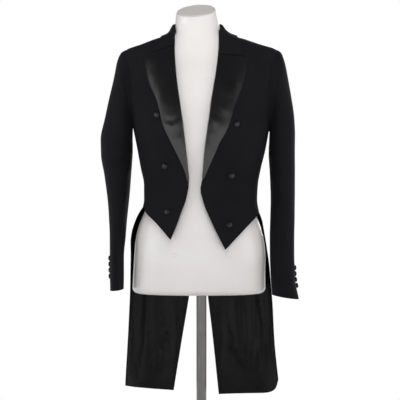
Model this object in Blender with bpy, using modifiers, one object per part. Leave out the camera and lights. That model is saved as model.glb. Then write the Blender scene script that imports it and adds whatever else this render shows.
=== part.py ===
# A white tie tailcoat, worn open on a limbless dress form with a chrome pole and a round base.
# Metres, +Z up. The coat faces -Y, so the wearer's right side is at -X. The pole stands on the Z axis.
import math

import bpy
import numpy as np
from mathutils import Vector

for old in list(bpy.data.objects):
    bpy.data.objects.remove(old, do_unlink=True)

SEAM_GAP = 0.0003
HALF_GAP = SEAM_GAP / 2
WAIST_GAP = 2 * SEAM_GAP
BODY_WALL = 0.0018
SLEEVE_WALL = 0.0015
LAPEL_WALL = 0.0015
COLLAR_WALL = 0.0016
LINING_WALL = 0.0010
LINING_INSET = 0.010
SQUARENESS = 2.3
FORM_X = -0.004

BASE_RADIUS = 0.18
BASE_THICKNESS = 0.010
BASE_SOCKET_RADIUS = 0.024
BASE_SOCKET_TOP = 0.034
BASE_SOCKET_FOOT = 0.001
POLE_RADIUS = 0.014
FORM_BOTTOM = 0.840
FORM_EDGE_RADIUS = 0.016
BASE_EDGE_RADIUS = 0.004
BASE_STEPS = 48
POLE_STEPS = 32

FRONT_BUTTON_RADIUS = 0.0080
FRONT_BUTTON_HEIGHT = 0.0048
CUFF_BUTTON_RADIUS = 0.0075
CUFF_BUTTON_HEIGHT = 0.0060
CUFF_BUTTON_SPACING = 0.0165
CUFF_BUTTONS = 4
BUTTON_RIM_SHARE = 0.35
BUTTON_FOOT_SHARE = 0.82
BUTTON_STEPS = 16
FRONT_BUTTON_STANDOFF = 0.0012
CUFF_BUTTON_STANDOFF = 0.0008

RIGHT, LEFT = -1, 1
SIDE_NAMES = {RIGHT: "right", LEFT: "left"}

# The inside of the coat's cloth at each height: how far it reaches to the wearer's right and left,
# to the front and to the back, and where its middle is.
COAT_SECTIONS = [
    # z, right, left, front, back, middle
    (0.500, -0.229, 0.246, -0.150, 0.150, 0.002),
    (0.600, -0.223, 0.234, -0.150, 0.147, 0.001),
    (0.700, -0.216, 0.222, -0.150, 0.144, 0.000),
    (0.820, -0.2085, 0.2145, -0.148, 0.141, -0.001),
    (0.920, -0.205, 0.204, -0.142, 0.139, -0.002),
    (0.980, -0.202, 0.192, -0.135, 0.134, -0.002),
    (1.010, -0.195, 0.184, -0.130, 0.126, -0.003),
    (1.040, -0.182, 0.174, -0.126, 0.114, -0.003),
    (1.065, -0.168, 0.164, -0.123, 0.105, -0.003),
    (1.080, -0.1585, 0.1605, -0.121, 0.101, -0.004),
    (1.100, -0.1545, 0.1580, -0.119, 0.098, -0.004),
    (1.140, -0.1545, 0.1600, -0.119, 0.098, -0.005),
    (1.190, -0.1640, 0.1690, -0.122, 0.102, -0.006),
    (1.240, -0.1730, 0.1815, -0.127, 0.108, -0.007),
    (1.300, -0.1850, 0.1920, -0.129, 0.114, -0.008),
    (1.340, -0.1955, 0.2000, -0.127, 0.1165, -0.009),
    (1.380, -0.2060, 0.2090, -0.122, 0.117, -0.010),
    (1.420, -0.2130, 0.2155, -0.115, 0.1145, -0.010),
    (1.460, -0.2165, 0.2190, -0.104, 0.109, -0.010),
    (1.490, -0.2170, 0.2200, -0.094, 0.102, -0.010),
    (1.508, -0.2135, 0.2185, -0.086, 0.097, -0.010),
    (1.519, -0.2035, 0.2105, -0.080, 0.093, -0.010),
    (1.530, -0.1710, 0.1760, -0.074, 0.089, -0.010),
    (1.541, -0.1420, 0.1430, -0.069, 0.085, -0.010),
    (1.549, -0.1180, 0.1170, -0.065, 0.0825, -0.010),
    (1.553, -0.0990, 0.0960, -0.063, 0.081, -0.010),
    (1.560, -0.0870, 0.0800, -0.060, 0.0785, -0.009),
    (1.572, -0.0790, 0.0670, -0.055, 0.075, -0.008),
    (1.590, -0.0745, 0.0600, -0.051, 0.072, -0.007),
]

# The dress form's surface, in the same columns.
FORM_SECTIONS = [
    # z, right, left, front, back, middle
    (0.856, -0.1885, 0.1830, -0.118, 0.121, -0.003),
    (0.900, -0.1865, 0.1825, -0.121, 0.123, -0.002),
    (0.940, -0.1840, 0.1830, -0.122, 0.122, -0.001),
    (0.980, -0.1815, 0.1800, -0.121, 0.118, -0.001),
    (1.010, -0.1765, 0.1735, -0.118, 0.112, -0.002),
    (1.040, -0.1670, 0.1650, -0.114, 0.105, -0.002),
    (1.070, -0.1545, 0.1550, -0.110, 0.098, -0.003),
    (1.100, -0.1485, 0.1510, -0.107, 0.094, -0.003),
    (1.140, -0.1480, 0.1520, -0.107, 0.093, -0.004),
    (1.200, -0.1570, 0.1620, -0.112, 0.097, -0.006),
    (1.270, -0.1680, 0.1740, -0.119, 0.104, -0.008),
    (1.340, -0.1760, 0.1790, -0.119, 0.110, -0.009),
    (1.400, -0.1800, 0.1820, -0.111, 0.111, -0.010),
    (1.450, -0.1800, 0.1830, -0.099, 0.105, -0.010),
    (1.490, -0.1740, 0.1800, -0.086, 0.095, -0.010),
    (1.508, -0.1660, 0.1720, -0.078, 0.089, -0.010),
    (1.522, -0.1480, 0.1540, -0.071, 0.084, -0.010),
    (1.534, -0.1270, 0.1300, -0.066, 0.079, -0.010),
    (1.546, -0.1040, 0.1020, -0.061, 0.074, -0.010),
    (1.558, -0.0830, 0.0730, -0.057, 0.070, -0.009),
    (1.570, -0.0715, 0.0600, -0.053, 0.0665, -0.008),
    (1.584, -0.0690, 0.0560, -0.051, 0.0640, -0.007),
    (1.606, -0.0683, 0.0510, -0.051, 0.0620, -0.008),
]

# The form's neck above the collar, in the same columns, and its slanted top.
NECK_SECTIONS = [
    (1.590, -0.0688, 0.0545, -0.0505, 0.0630, -0.0072),
    (1.604, -0.0683, 0.0513, -0.0505, 0.0620, -0.0085),
    (1.634, -0.0664, 0.0454, -0.0510, 0.0610, -0.0105),
]
NECK_TOP_Z = 1.6300
NECK_TOP_SLOPE_Y = math.tan(math.radians(24.0))
NECK_TOP_SLOPE_X = math.tan(math.radians(5.0))
NECK_TOP_MIDDLE = (-0.0105, 0.005)
NECK_TOP_SHRINK = 0.975
# The cap's rings from its underside up: share of the neck's size, and height.
CAP_PROFILE = [(0.965, 0.0), (0.965, 0.0012), (0.94, 0.0022), (0.70, 0.0030), (0.35, 0.0034)]
CAP_GAP = 0.00036
FORM_CHEST_HEIGHTS = (0.880, 1.480)
FORM_CHEST_ROWS = 21
FORM_SHOULDER_HEIGHTS = [1.498, 1.510, 1.520, 1.529, 1.538, 1.547, 1.557, 1.567, 1.578]

# The front edge of each forepart: the roll line down to the lapel's break, then the cutaway to the point.
FRONT_EDGE = {
    RIGHT: [
        (0.992, -0.0790), (1.014, -0.0700), (1.046, -0.0565), (1.079, -0.0460), (1.111, -0.0350),
        (1.143, -0.0280), (1.159, -0.0295), (1.216, -0.0350), (1.288, -0.0430), (1.348, -0.0510),
        (1.405, -0.0595), (1.475, -0.0670), (1.530, -0.0695), (1.590, -0.0700),
    ],
    LEFT: [
        (0.9655, 0.0680), (0.998, 0.0515), (1.030, 0.0350), (1.0625, 0.0220), (1.095, 0.0085),
        (1.127, 0.0010), (1.168, 0.0060), (1.225, 0.0110), (1.290, 0.0190), (1.330, 0.0250),
        (1.371, 0.0300), (1.420, 0.0385), (1.478, 0.0470), (1.530, 0.0520), (1.594, 0.0520),
    ],
}
BREAK_Z = {RIGHT: 1.149, LEFT: 1.157}
ROLL_COVER = 0.0027
ROLL_START = 0.013
ROLL_RAMP = 0.014
NECK_COVER = 0.0020
NECK_COVER_Z = 1.538
WAIST_Z = {RIGHT: 1.081, LEFT: 1.064}
BACK_WAIST_Z = 1.078
NECK_POINT_Z = {RIGHT: 1.568, LEFT: 1.573}
BACK_NECK_Z = 1.574

# Each armhole is an egg in the side view, centred on the arm.
ARMHOLE = {
    RIGHT: {"middle_z": 1.4090, "half_height": 0.1100, "front_depth": 0.063, "back_depth": 0.066},
    LEFT: {"middle_z": 1.4050, "half_height": 0.1150, "front_depth": 0.063, "back_depth": 0.066},
}
BACK_SEAM_ON_ARMHOLE = -118.0

# Height and angle round the body, from the front, of the underarm seam, the curved back seam
# and the skirt's front edge.
UNDERARM_SEAM = [(1.060, 82.0), (1.120, 83.5), (1.200, 86.5), (1.300, 90.0)]
BACK_SEAM = [(1.078, 163.0), (1.140, 160.0), (1.200, 154.5), (1.270, 145.0), (1.330, 132.0), (1.380, 120.0)]
SKIRT_FRONT = [
    (0.530, 111.0), (0.820, 110.0), (0.950, 108.0), (1.000, 104.0), (1.030, 99.0), (1.060, 91.0),
    (1.081, 83.0),
]
# Height and x of the pleat line and of the vent's edge.
PLEAT_X = {
    RIGHT: [
        (0.545, -0.137), (0.700, -0.108), (0.820, -0.085), (0.950, -0.061), (1.040, -0.044), (1.078, -0.036),
    ],
    LEFT: [(0.533, 0.119), (0.700, 0.095), (0.820, 0.077), (0.950, 0.055), (1.040, 0.038), (1.078, 0.030)],
}
VENT_X = {
    RIGHT: [
        (0.545, -0.077), (0.700, -0.052), (0.820, -0.032), (0.950, -0.014), (1.040, -0.0055),
        (1.078, -0.0042),
    ],
    LEFT: [
        (0.533, 0.0550), (0.700, 0.0375), (0.820, 0.0230), (0.950, 0.0080), (1.040, -0.0025),
        (1.078, -0.0038),
    ],
}
# The hem's height at the vent, and along the skirt from its front edge to the pleat.
HEM_AT_VENT = {RIGHT: 0.545, LEFT: 0.533}
HEM = {
    RIGHT: [(0.0, 0.571), (0.5, 0.5605), (1.0, 0.552)],
    LEFT: [(0.0, 0.588), (0.12, 0.565), (0.25, 0.552), (0.5, 0.543), (1.0, 0.537)],
}

# The outer edge of each lapel, from the break up to the peak, and where its top edge meets the roll line.
LAPEL_EDGE = {
    RIGHT: [
        (1.151, -0.0335), (1.176, -0.0400), (1.215, -0.0570), (1.262, -0.0800), (1.303, -0.0985),
        (1.369, -0.1150), (1.4215, -0.1370), (1.478, -0.1480),
    ],
    LEFT: [
        (1.159, 0.0110), (1.190, 0.0240), (1.2215, 0.0380), (1.254, 0.0520), (1.294, 0.0740),
        (1.359, 0.0930), (1.395, 0.1080), (1.454, 0.1240), (1.476, 0.1285),
    ],
}
PEAK = {RIGHT: (1.494, -0.1490), LEFT: (1.489, 0.1290)}
GORGE_ROLL_Z = {RIGHT: 1.522, LEFT: 1.496}
# Height of the lapel's underside over the coat's inside: distance from the roll line as a share, and height.
LAPEL_RISE = [(0.06, 0.0030), (0.25, 0.0042), (0.55, 0.0040), (0.82, 0.0030), (1.0, 0.0024)]
LAPEL_WRAP = [(0.0018, 0.0008), (0.0020, 0.0023)]
LAPEL_LIFT = 0.0005
LAPEL_SPRING_ROWS = 4
LAPEL_LEAST_WIDTH = 0.0032
LAPEL_LEAST_STEP = 0.0006

# The collar's leaf over each front, from the gorge up: share of the way, height on the roll line,
# and height and x of its outer edge.
COLLAR_LEAF = {
    RIGHT: [
        (0.0, 1.5230, 1.5020, -0.1290), (0.35, 1.5350, 1.5160, -0.1250), (0.7, 1.5470, 1.5305, -0.1180),
        (1.0, 1.5592, 1.5415, -0.1110),
    ],
    LEFT: [
        (0.0, 1.4970, 1.4925, 0.1150), (0.35, 1.5200, 1.5130, 0.1130), (0.7, 1.5430, 1.5305, 0.1090),
        (1.0, 1.5642, 1.5405, 0.1045),
    ],
}
# Inset and height of the leaf's rows round the forepart's edge, then share of its width and height.
LEAF_WRAP = [(0.0011, 0.0006), (0.0012, 0.0014), (0.0015, 0.0026)]
LEAF_RISE = [(0.08, 0.0046), (0.30, 0.0054), (0.55, 0.0056), (0.80, 0.0052), (1.0, 0.0042)]

# The collar round the neck, by angle from the front: heights of the fold and of the fall's lower edge.
COLLAR_RING = [
    (50.0, 1.5680, 1.5465), (66.0, 1.5760, 1.5505), (78.0, 1.5830, 1.5530), (90.0, 1.5890, 1.5550),
    (120.0, 1.5965, 1.5555), (150.0, 1.6010, 1.5560), (180.0, 1.6020, 1.5560),
]
LEAF_SHARES = (0.0, 0.3, 0.6, 0.85)
NECK_ANGLES = (66.0, 78.0, 90.0, 104.0, 119.0, 134.0, 149.0, 165.0, 180.0)
CORNER_CLEARANCE = (0.0036, 0.0032, 0.0020)
COLLAR_OFF_NECK = 0.0040
COLLAR_OVER_SEAM = 0.0052
COLLAR_OFF_SHOULDER = 0.0044
COLLAR_SEAM_LIFT = 0.0008
COLLAR_SEAM_OUT = 0.0001
COLLAR_FOLD_WIDTH = 0.0022
COLLAR_FOLD_DROP = 0.0014
COLLAR_BELLY = 0.0006
NECK_SEAM_DROP = 0.010
SHOULDER_EDGE_DROP = 0.012

# The sleeves' rings from the armhole down: the point next to the body, the point away from it,
# the middle of the arm from front to back, and half its depth.
SLEEVE_RINGS = {
    RIGHT: [
        # in_x, in_z, out_x, out_z, middle_y, half_depth
        (0.1890, 1.2995, 0.2185, 1.5135, 0.002, 0.0650),
        (0.1895, 1.2940, 0.2275, 1.4975, 0.002, 0.0665),
        (0.1895, 1.2870, 0.2340, 1.4700, 0.003, 0.0675),
        (0.1895, 1.2780, 0.2430, 1.4300, 0.004, 0.0680),
        (0.1895, 1.2660, 0.2545, 1.3830, 0.006, 0.0685),
        (0.1890, 1.2500, 0.2670, 1.3280, 0.008, 0.0690),
        (0.1890, 1.2290, 0.2790, 1.2700, 0.010, 0.0685),
        (0.1905, 1.2020, 0.2780, 1.2260, 0.011, 0.0680),
        (0.1940, 1.1600, 0.2680, 1.1700, 0.011, 0.0668),
        (0.1985, 1.1080, 0.2605, 1.1120, 0.009, 0.0650),
        (0.2035, 1.0540, 0.2550, 1.0540, 0.004, 0.0635),
        (0.2075, 1.0000, 0.2520, 1.0000, -0.004, 0.0610),
        (0.2120, 0.9450, 0.2515, 0.9450, -0.014, 0.0585),
        (0.2115, 0.8950, 0.2500, 0.8950, -0.024, 0.0565),
        (0.2115, 0.8540, 0.2490, 0.8500, -0.031, 0.0550),
    ],
    LEFT: [
        # in_x, in_z, out_x, out_z, middle_y, half_depth
        (0.1960, 1.2905, 0.2245, 1.5140, 0.002, 0.0650),
        (0.1960, 1.2850, 0.2325, 1.4970, 0.002, 0.0665),
        (0.1955, 1.2780, 0.2395, 1.4710, 0.003, 0.0675),
        (0.1950, 1.2700, 0.2470, 1.4340, 0.004, 0.0680),
        (0.1945, 1.2600, 0.2555, 1.3880, 0.006, 0.0685),
        (0.1935, 1.2460, 0.2630, 1.3350, 0.008, 0.0690),
        (0.1930, 1.2260, 0.2665, 1.2750, 0.010, 0.0690),
        (0.1945, 1.1980, 0.2665, 1.2200, 0.011, 0.0680),
        (0.1970, 1.1550, 0.2665, 1.1650, 0.011, 0.0665),
        (0.1985, 1.1050, 0.2660, 1.1090, 0.009, 0.0645),
        (0.1970, 1.0520, 0.2650, 1.0520, 0.004, 0.0620),
        (0.1955, 0.9980, 0.2635, 0.9980, -0.004, 0.0590),
        (0.1950, 0.9430, 0.2625, 0.9430, -0.014, 0.0560),
        (0.1970, 0.8880, 0.2640, 0.8830, -0.024, 0.0530),
        (0.2000, 0.8380, 0.2745, 0.8260, -0.032, 0.0510),
    ],
}
SLEEVE_SET_IN = 0.0013
SLEEVE_SET_UNDER = 0.0030
# The turn round the sleeve of its hind seam at each ring, and of its front seam.
HIND_SEAM = [(0, -74.0), (8, -58.0), (15, -36.0)]
FRONT_SEAM_TURN = 128.0
CUFF_BUTTON_TURN = {RIGHT: -20.0, LEFT: -14.0}
CUFF_BUTTON_TOP = {RIGHT: 0.937, LEFT: 0.911}

# Height and x of the front buttons.
FRONT_BUTTONS = {
    RIGHT: [(1.331, -0.1155), (1.192, -0.0940), (1.068, -0.0870)],
    LEFT: [(1.3055, 0.0980), (1.166, 0.0845), (1.033, 0.0780)],
}

# Rows up the panels' edges and columns across the panels. The side and armhole rows are shared by
# every panel that meets there.
SIDE_ROWS = 9
ARMHOLE_ROWS = 9
BACK_ARMHOLE_ROWS = 8
TAIL_ROWS = 12
FOREPART_COLUMNS = 9
SIDEBODY_COLUMNS = 7
STRIP_COLUMNS = 6
SKIRT_COLUMNS = 7
TOPSLEEVE_COLUMNS = 12
UNDERSLEEVE_COLUMNS = 9
LAPEL_ROWS = 15
SHOULDER_SHARES = (0.0, 0.25, 0.48, 0.62, 0.71, 0.84, 1.0)
FORM_COLUMNS = 40

COAT_COLOUR = (0.016, 0.015, 0.018)
SATIN_COLOUR = (0.030, 0.029, 0.033)
LINING_COLOUR = (0.040, 0.036, 0.042)
FORM_COLOUR = (0.78, 0.76, 0.74)
CAP_COLOUR = (0.50, 0.48, 0.46)
CHROME_COLOUR = (0.78, 0.78, 0.80)

parts = bpy.data.collections.new("white_tie_tailcoat")
bpy.context.scene.collection.children.link(parts)


# Curves through the rows of a table, without overshoot between them.


def smooth_row(rows, at):
    """The values of a table's other columns where its first column is at."""
    table = np.array(rows, float)
    if table[0, 0] > table[-1, 0]:
        table = table[::-1]
    key, values = table[:, 0], table[:, 1:]
    at = min(max(at, key[0]), key[-1])
    i = min(max(int(np.searchsorted(key, at)) - 1, 0), len(key) - 2)
    slopes = np.diff(values, axis=0) / np.diff(key)[:, None]

    def tangent(k):
        if k == 0:
            return slopes[0]
        if k == len(key) - 1:
            return slopes[-1]
        before, after = slopes[k - 1], slopes[k]
        same = before * after > 0
        return np.where(same, 2 * before * after / np.where(same, before + after, 1.0), 0.0)

    step = key[i + 1] - key[i]
    t = (at - key[i]) / step
    start = (1 + 2 * t) * (1 - t) ** 2 * values[i] + t * (1 - t) ** 2 * step * tangent(i)
    end = t * t * (3 - 2 * t) * values[i + 1] + t * t * (t - 1) * step * tangent(i + 1)
    return start + end


def spread(start, end, count):
    """Evenly spaced numbers, both ends included."""
    return [start + (end - start) * i / (count - 1) for i in range(count)]


# The coat's inside as a surface of angle and height.


def ring_point(sections, side, angle, z):
    right, left, front, back, middle = smooth_row(sections, z)
    reach = right if side == RIGHT else left
    turn = math.radians(angle)
    across = math.copysign(abs(math.sin(turn)) ** (2 / SQUARENESS), math.sin(turn))
    along = abs(math.cos(turn)) ** (2 / SQUARENESS)
    depth = front if math.cos(turn) > 0 else back
    return Vector((middle + (reach - middle) * across, depth * along, z))


def spot(side, angle, z, out=0.0):
    """A point on the coat's inside, moved out along the surface's normal."""
    here = ring_point(COAT_SECTIONS, side, angle, z)
    if out == 0.0:
        return here
    before, after = [ring_point(COAT_SECTIONS, side, angle + step, z) for step in (-0.6, 0.6)]
    below, above = [ring_point(COAT_SECTIONS, side, angle, z + step) for step in (-0.002, 0.002)]
    normal = (after - before).cross(above - below).normalized() * side
    return here + normal * out


def angle_at(side, x, z, back=False):
    """The angle at which the coat's inside reaches x at this height."""
    right, left, _, _, middle = smooth_row(COAT_SECTIONS, z)
    reach = right if side == RIGHT else left
    share = min(max((x - middle) / (reach - middle), -1.0), 1.0)
    turn = math.degrees(math.asin(math.copysign(abs(share) ** (SQUARENESS / 2), share)))
    return 180.0 - turn if back else turn


def armhole(side, turn):
    """Angle and height on the armhole, at a turn from its top: 90 is its front and -90 its back."""
    egg = ARMHOLE[side]
    z = egg["middle_z"] + egg["half_height"] * math.cos(math.radians(turn))
    _, _, front, back, _ = smooth_row(COAT_SECTIONS, z)
    forward = math.sin(math.radians(turn))
    reach = egg["front_depth"] * forward / -front if forward > 0 else egg["back_depth"] * forward / back
    angle = math.degrees(math.acos(math.copysign(abs(reach) ** (SQUARENESS / 2), reach)))
    return angle, z


# Making objects.


def material(name, colour, roughness, metallic=0.0):
    made = bpy.data.materials.new(name)
    made.use_nodes = True
    surface = made.node_tree.nodes["Principled BSDF"]
    surface.inputs["Base Color"].default_value = (*colour, 1.0)
    surface.inputs["Roughness"].default_value = roughness
    surface.inputs["Metallic"].default_value = metallic
    return made


def add_object(name, mesh, finish, x=0.0):
    made = bpy.data.objects.new(name, mesh)
    made.location.x = x
    mesh.materials.append(material(name, *finish))
    parts.objects.link(made)
    return made


def grid_faces(rows, columns, closed=False):
    faces = []
    for i in range(rows - 1):
        for j in range(columns if closed else columns - 1):
            after = (j + 1) % columns
            low, high = i * columns, (i + 1) * columns
            faces.append((low + j, low + after, high + after, high + j))
    return faces


def cloth(name, grid, wall, finish, flip):
    """A grid of inside points, thickened outward into a wall."""
    rows, columns = len(grid), len(grid[0])
    mesh = bpy.data.meshes.new(name)
    faces = grid_faces(rows, columns)
    if flip:
        faces = [tuple(reversed(face)) for face in faces]
    mesh.from_pydata([point for row in grid for point in row], [], faces)
    mesh.shade_smooth()
    made = add_object(name, mesh, finish, FORM_X)
    thicken = made.modifiers.new("wall", "SOLIDIFY")
    thicken.thickness = wall
    thicken.offset = 1.0
    thicken.use_even_offset = True


def pull_in(grid, gaps):
    """Draws a grid's bottom, top, first and last edges in by their seam gaps."""
    bottom, top, first, last = gaps
    drawn = [[Vector(point) for point in row] for row in grid]
    for j in range(len(grid[0])):
        drawn[0][j] += (grid[1][j] - grid[0][j]).normalized() * bottom
        drawn[-1][j] += (grid[-2][j] - grid[-1][j]).normalized() * top
    for i in range(len(grid)):
        drawn[i][0] += (grid[i][1] - grid[i][0]).normalized() * first
        drawn[i][-1] += (grid[i][-2] - grid[i][-1]).normalized() * last
    return drawn


def patch(bottom, top, first, last):
    """A net of (angle, z) between four edges that share their corners."""
    columns, rows = len(bottom), len(first)
    net = []
    for i in range(rows):
        v = i / (rows - 1)
        row = []
        for j in range(columns):
            u = j / (columns - 1)
            pair = []
            for k in (0, 1):
                up = (1 - v) * bottom[j][k] + v * top[j][k]
                across = (1 - u) * first[i][k] + u * last[i][k]
                low = (1 - u) * bottom[0][k] + u * bottom[-1][k]
                high = (1 - u) * top[0][k] + u * top[-1][k]
                pair.append(up + across - (1 - v) * low - v * high)
            row.append(tuple(pair))
        net.append(row)
    return net


def panel(name, side, net, gaps, wall=BODY_WALL, out=0.0, finish=(COAT_COLOUR, 0.85)):
    """A cloth panel on a net of (angle, z), drawn in at its edges."""
    grid = [[spot(side, angle, z, out) for angle, z in row] for row in net]
    cloth(name, pull_in(grid, gaps), wall, finish, flip=side == RIGHT)


def from_x(side, table, z, back=False, shift=0.0):
    x = float(smooth_row(table, z)[0]) + side * shift
    return angle_at(side, x, z, back), z


def from_angle(table, z):
    return float(smooth_row(table, z)[0]), z


# The coat's body.


def roll_shift(side, z):
    """How far the forepart's edge stays inside the lapel's fold, and inside the collar's near the neck."""
    low = min(max((z - BREAK_Z[side] + ROLL_START) / ROLL_RAMP, 0.0), 1.0)
    high = min(max((z - NECK_COVER_Z) / ROLL_RAMP, 0.0), 1.0)
    return ROLL_COVER * low + NECK_COVER * high


def front_edge(side, z):
    return from_x(side, FRONT_EDGE[side], z, shift=roll_shift(side, z))


def shoulder_rows(start, end):
    """Heights up the shoulder, closer together where it curves up to the neck."""
    return [start + (end - start) * share for share in SHOULDER_SHARES[1:]]


def shoulder_seam(side):
    return [(90.0, z) for z in shoulder_rows(armhole(side, 0.0)[1], NECK_POINT_Z[side])]


def forepart(side):
    """One front, from its cutaway edge to the underarm seam and up to the shoulder."""
    bottom_z = FRONT_EDGE[side][0][0]
    underarm_z = armhole(side, 180.0)[1]
    side_seam = [from_angle(UNDERARM_SEAM, z) for z in spread(WAIST_Z[side], underarm_z, SIDE_ROWS)]
    hole = [armhole(side, turn) for turn in spread(165.0, 0.0, ARMHOLE_ROWS)]
    last = side_seam + hole + shoulder_seam(side)
    shoulder_z = armhole(side, 0.0)[1] - SHOULDER_EDGE_DROP
    heights = spread(bottom_z, underarm_z, SIDE_ROWS)
    heights += spread(underarm_z, shoulder_z, ARMHOLE_ROWS + 1)[1:]
    heights += shoulder_rows(shoulder_z, NECK_POINT_Z[side] - NECK_SEAM_DROP)
    first = [front_edge(side, z) for z in heights]
    columns = FOREPART_COLUMNS
    bottom = []
    start, end = spot(side, *first[0]), spot(side, *last[0])
    for angle in spread(first[0][0], last[0][0], columns):
        z = bottom_z
        for _ in range(4):
            share = (spot(side, angle, z).x - start.x) / (end.x - start.x)
            z = bottom_z + (WAIST_Z[side] - bottom_z) * min(max(share, 0.0), 1.0)
        bottom.append((angle, z))
    top = row_between(first[-1], last[-1], columns)
    panel(f"forepart_{SIDE_NAMES[side]}", side, patch(bottom, top, first, last), (0, HALF_GAP, 0, HALF_GAP))


def sidebody(side):
    """The panel under the arm, between the underarm seam and the curved back seam."""
    top = [armhole(side, turn) for turn in spread(180.0, 360.0 + BACK_SEAM_ON_ARMHOLE, SIDEBODY_COLUMNS)]
    first = [from_angle(UNDERARM_SEAM, z) for z in spread(WAIST_Z[side], top[0][1], SIDE_ROWS)]
    last = [back_seam(side, z) for z in spread(BACK_WAIST_Z, top[-1][1], SIDE_ROWS)]
    net = patch(waist_seam(side, SIDEBODY_COLUMNS), top, first, last)
    panel(f"sidebody_{SIDE_NAMES[side]}", side, net, (WAIST_GAP, HALF_GAP, HALF_GAP, HALF_GAP))


def back_seam(side, z):
    """The curved seam between the sidebody and the back, from the pleat line to the armhole."""
    low = from_x(side, PLEAT_X[side], BACK_WAIST_Z, back=True)[0]
    high, high_z = armhole(side, BACK_SEAM_ON_ARMHOLE)
    drawn = from_angle(BACK_SEAM, z)[0]
    start, end = from_angle(BACK_SEAM, BACK_WAIST_Z)[0], from_angle(BACK_SEAM, high_z)[0]
    v = (z - BACK_WAIST_Z) / (high_z - BACK_WAIST_Z)
    return drawn + (low - start) * (1 - v) + (high - end) * v, z


def row_between(first, last, columns):
    return list(zip(spread(first[0], last[0], columns), spread(first[1], last[1], columns)))


def waist_seam(side, columns):
    return row_between(from_angle(UNDERARM_SEAM, WAIST_Z[side]), back_seam(side, BACK_WAIST_Z), columns)


def strip_edges(side):
    """The pleat line and the vent's edge, from the hem to the waist."""
    pleat_rows = spread(HEM[side][-1][1], BACK_WAIST_Z, TAIL_ROWS)
    vent_rows = spread(HEM_AT_VENT[side], BACK_WAIST_Z, TAIL_ROWS)
    pleat = [from_x(side, PLEAT_X[side], z, back=True) for z in pleat_rows]
    vent = [from_x(side, VENT_X[side], z, back=True) for z in vent_rows]
    return pleat, vent


def back_net(side):
    """Half of the back with the tail's strip below it, from the pleat line to the centre."""
    pleat, vent = strip_edges(side)
    vent[-1] = (180.0, BACK_WAIST_Z)
    seam_top = armhole(side, BACK_SEAM_ON_ARMHOLE)[1]
    seam = [back_seam(side, z) for z in spread(BACK_WAIST_Z, seam_top, SIDE_ROWS)][1:]
    hole = [armhole(side, turn) for turn in spread(BACK_SEAM_ON_ARMHOLE, 0.0, BACK_ARMHOLE_ROWS)][1:]
    first = pleat + seam + hole + shoulder_seam(side)
    shoulder_top = armhole(side, 0.0)[1]
    heights = spread(BACK_WAIST_Z, seam_top, SIDE_ROWS)[1:]
    heights += spread(seam_top, shoulder_top, BACK_ARMHOLE_ROWS)[1:]
    heights += shoulder_rows(shoulder_top, BACK_NECK_Z)
    last = vent + [(180.0, z) for z in heights]
    bottom = row_between(first[0], last[0], STRIP_COLUMNS)
    top = row_between(first[-1], last[-1], STRIP_COLUMNS)
    return patch(bottom, top, first, last)


def back(side):
    panel(f"back_{SIDE_NAMES[side]}", side, back_net(side), (0, HALF_GAP, HALF_GAP, HALF_GAP))


def skirt_net(side):
    """The skirt of one tail, from its front edge round to the pleat line."""
    columns = SKIRT_COLUMNS
    first = [from_angle(SKIRT_FRONT, z) for z in spread(HEM[side][0][1], WAIST_Z[side], TAIL_ROWS)]
    last = strip_edges(side)[0]
    top = waist_seam(side, columns)
    first[-1], last[-1] = top[0], top[-1]
    angles = spread(first[0][0], last[0][0], columns)
    hem = [(angle, float(smooth_row(HEM[side], j / (columns - 1))[0])) for j, angle in enumerate(angles)]
    return patch(hem, top, first, last)


def skirt(side):
    panel(f"skirt_{SIDE_NAMES[side]}", side, skirt_net(side), (0, WAIST_GAP, 0, HALF_GAP))


def tail_lining(side):
    """The lining of one tail, inside the skirt and the back's strip and short of their edges."""
    net = [outer + strip[1:] for outer, strip in zip(skirt_net(side), back_net(side))]
    name = f"tail_lining_{SIDE_NAMES[side]}"
    panel(name, side, net, (LINING_INSET,) * 4, LINING_WALL, -LINING_WALL - SEAM_GAP, (LINING_COLOUR, 0.35))


# Lapels and collar.


def lapel(side):
    """The satin lapel: it folds round the forepart's edge and lies over it, up to the peak."""
    peak_z, peak_x = PEAK[side]
    edge = LAPEL_EDGE[side] + [PEAK[side]]
    start = LAPEL_EDGE[side][0][0]
    outer = spread(start, peak_z, LAPEL_ROWS)
    inner = spread(start, GORGE_ROLL_Z[side], LAPEL_ROWS)
    flat = BODY_WALL + LAPEL_LIFT
    grid = []
    for i, (roll_z, edge_z) in enumerate(zip(inner, outer)):
        roll_x = float(smooth_row(FRONT_EDGE[side], roll_z)[0])
        edge_x = float(smooth_row(edge, edge_z)[0])
        width = abs(edge_x - roll_x)
        grow = min(1.0, i / LAPEL_SPRING_ROWS)
        row = []
        for inset, out in LAPEL_WRAP:
            out = out if i else flat
            row.append(spot(side, angle_at(side, roll_x + side * inset, roll_z), roll_z, out))
        for share, rise in LAPEL_RISE:
            x = roll_x + side * max(share * width, LAPEL_LEAST_WIDTH + LAPEL_LEAST_STEP * share)
            z = roll_z + (edge_z - roll_z) * share
            row.append(spot(side, angle_at(side, x, z), z, flat + (rise - flat) * grow))
        grid.append(row)
    cloth(f"lapel_{SIDE_NAMES[side]}", grid, LAPEL_WALL, (SATIN_COLOUR, 0.30), flip=side == RIGHT)


# Sleeves.


def sleeve_start(side, turn):
    """The sleeve's inside where it meets the armhole, set in from the body's edge."""
    angle, z = armhole(side, turn)
    here = spot(side, angle, z)
    ahead = spot(side, *armhole(side, turn + 2.0)) - spot(side, *armhole(side, turn - 2.0))
    normal = (spot(side, angle, z, 0.001) - here).normalized()
    inward = ahead.cross(normal).normalized()
    if inward.dot(spot(side, 90.0, ARMHOLE[side]["middle_z"]) - here) < 0:
        inward.negate()
    under = (1 - math.cos(math.radians(turn))) / 2
    return here + inward * (SLEEVE_SET_IN + SLEEVE_SET_UNDER * under)


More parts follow.
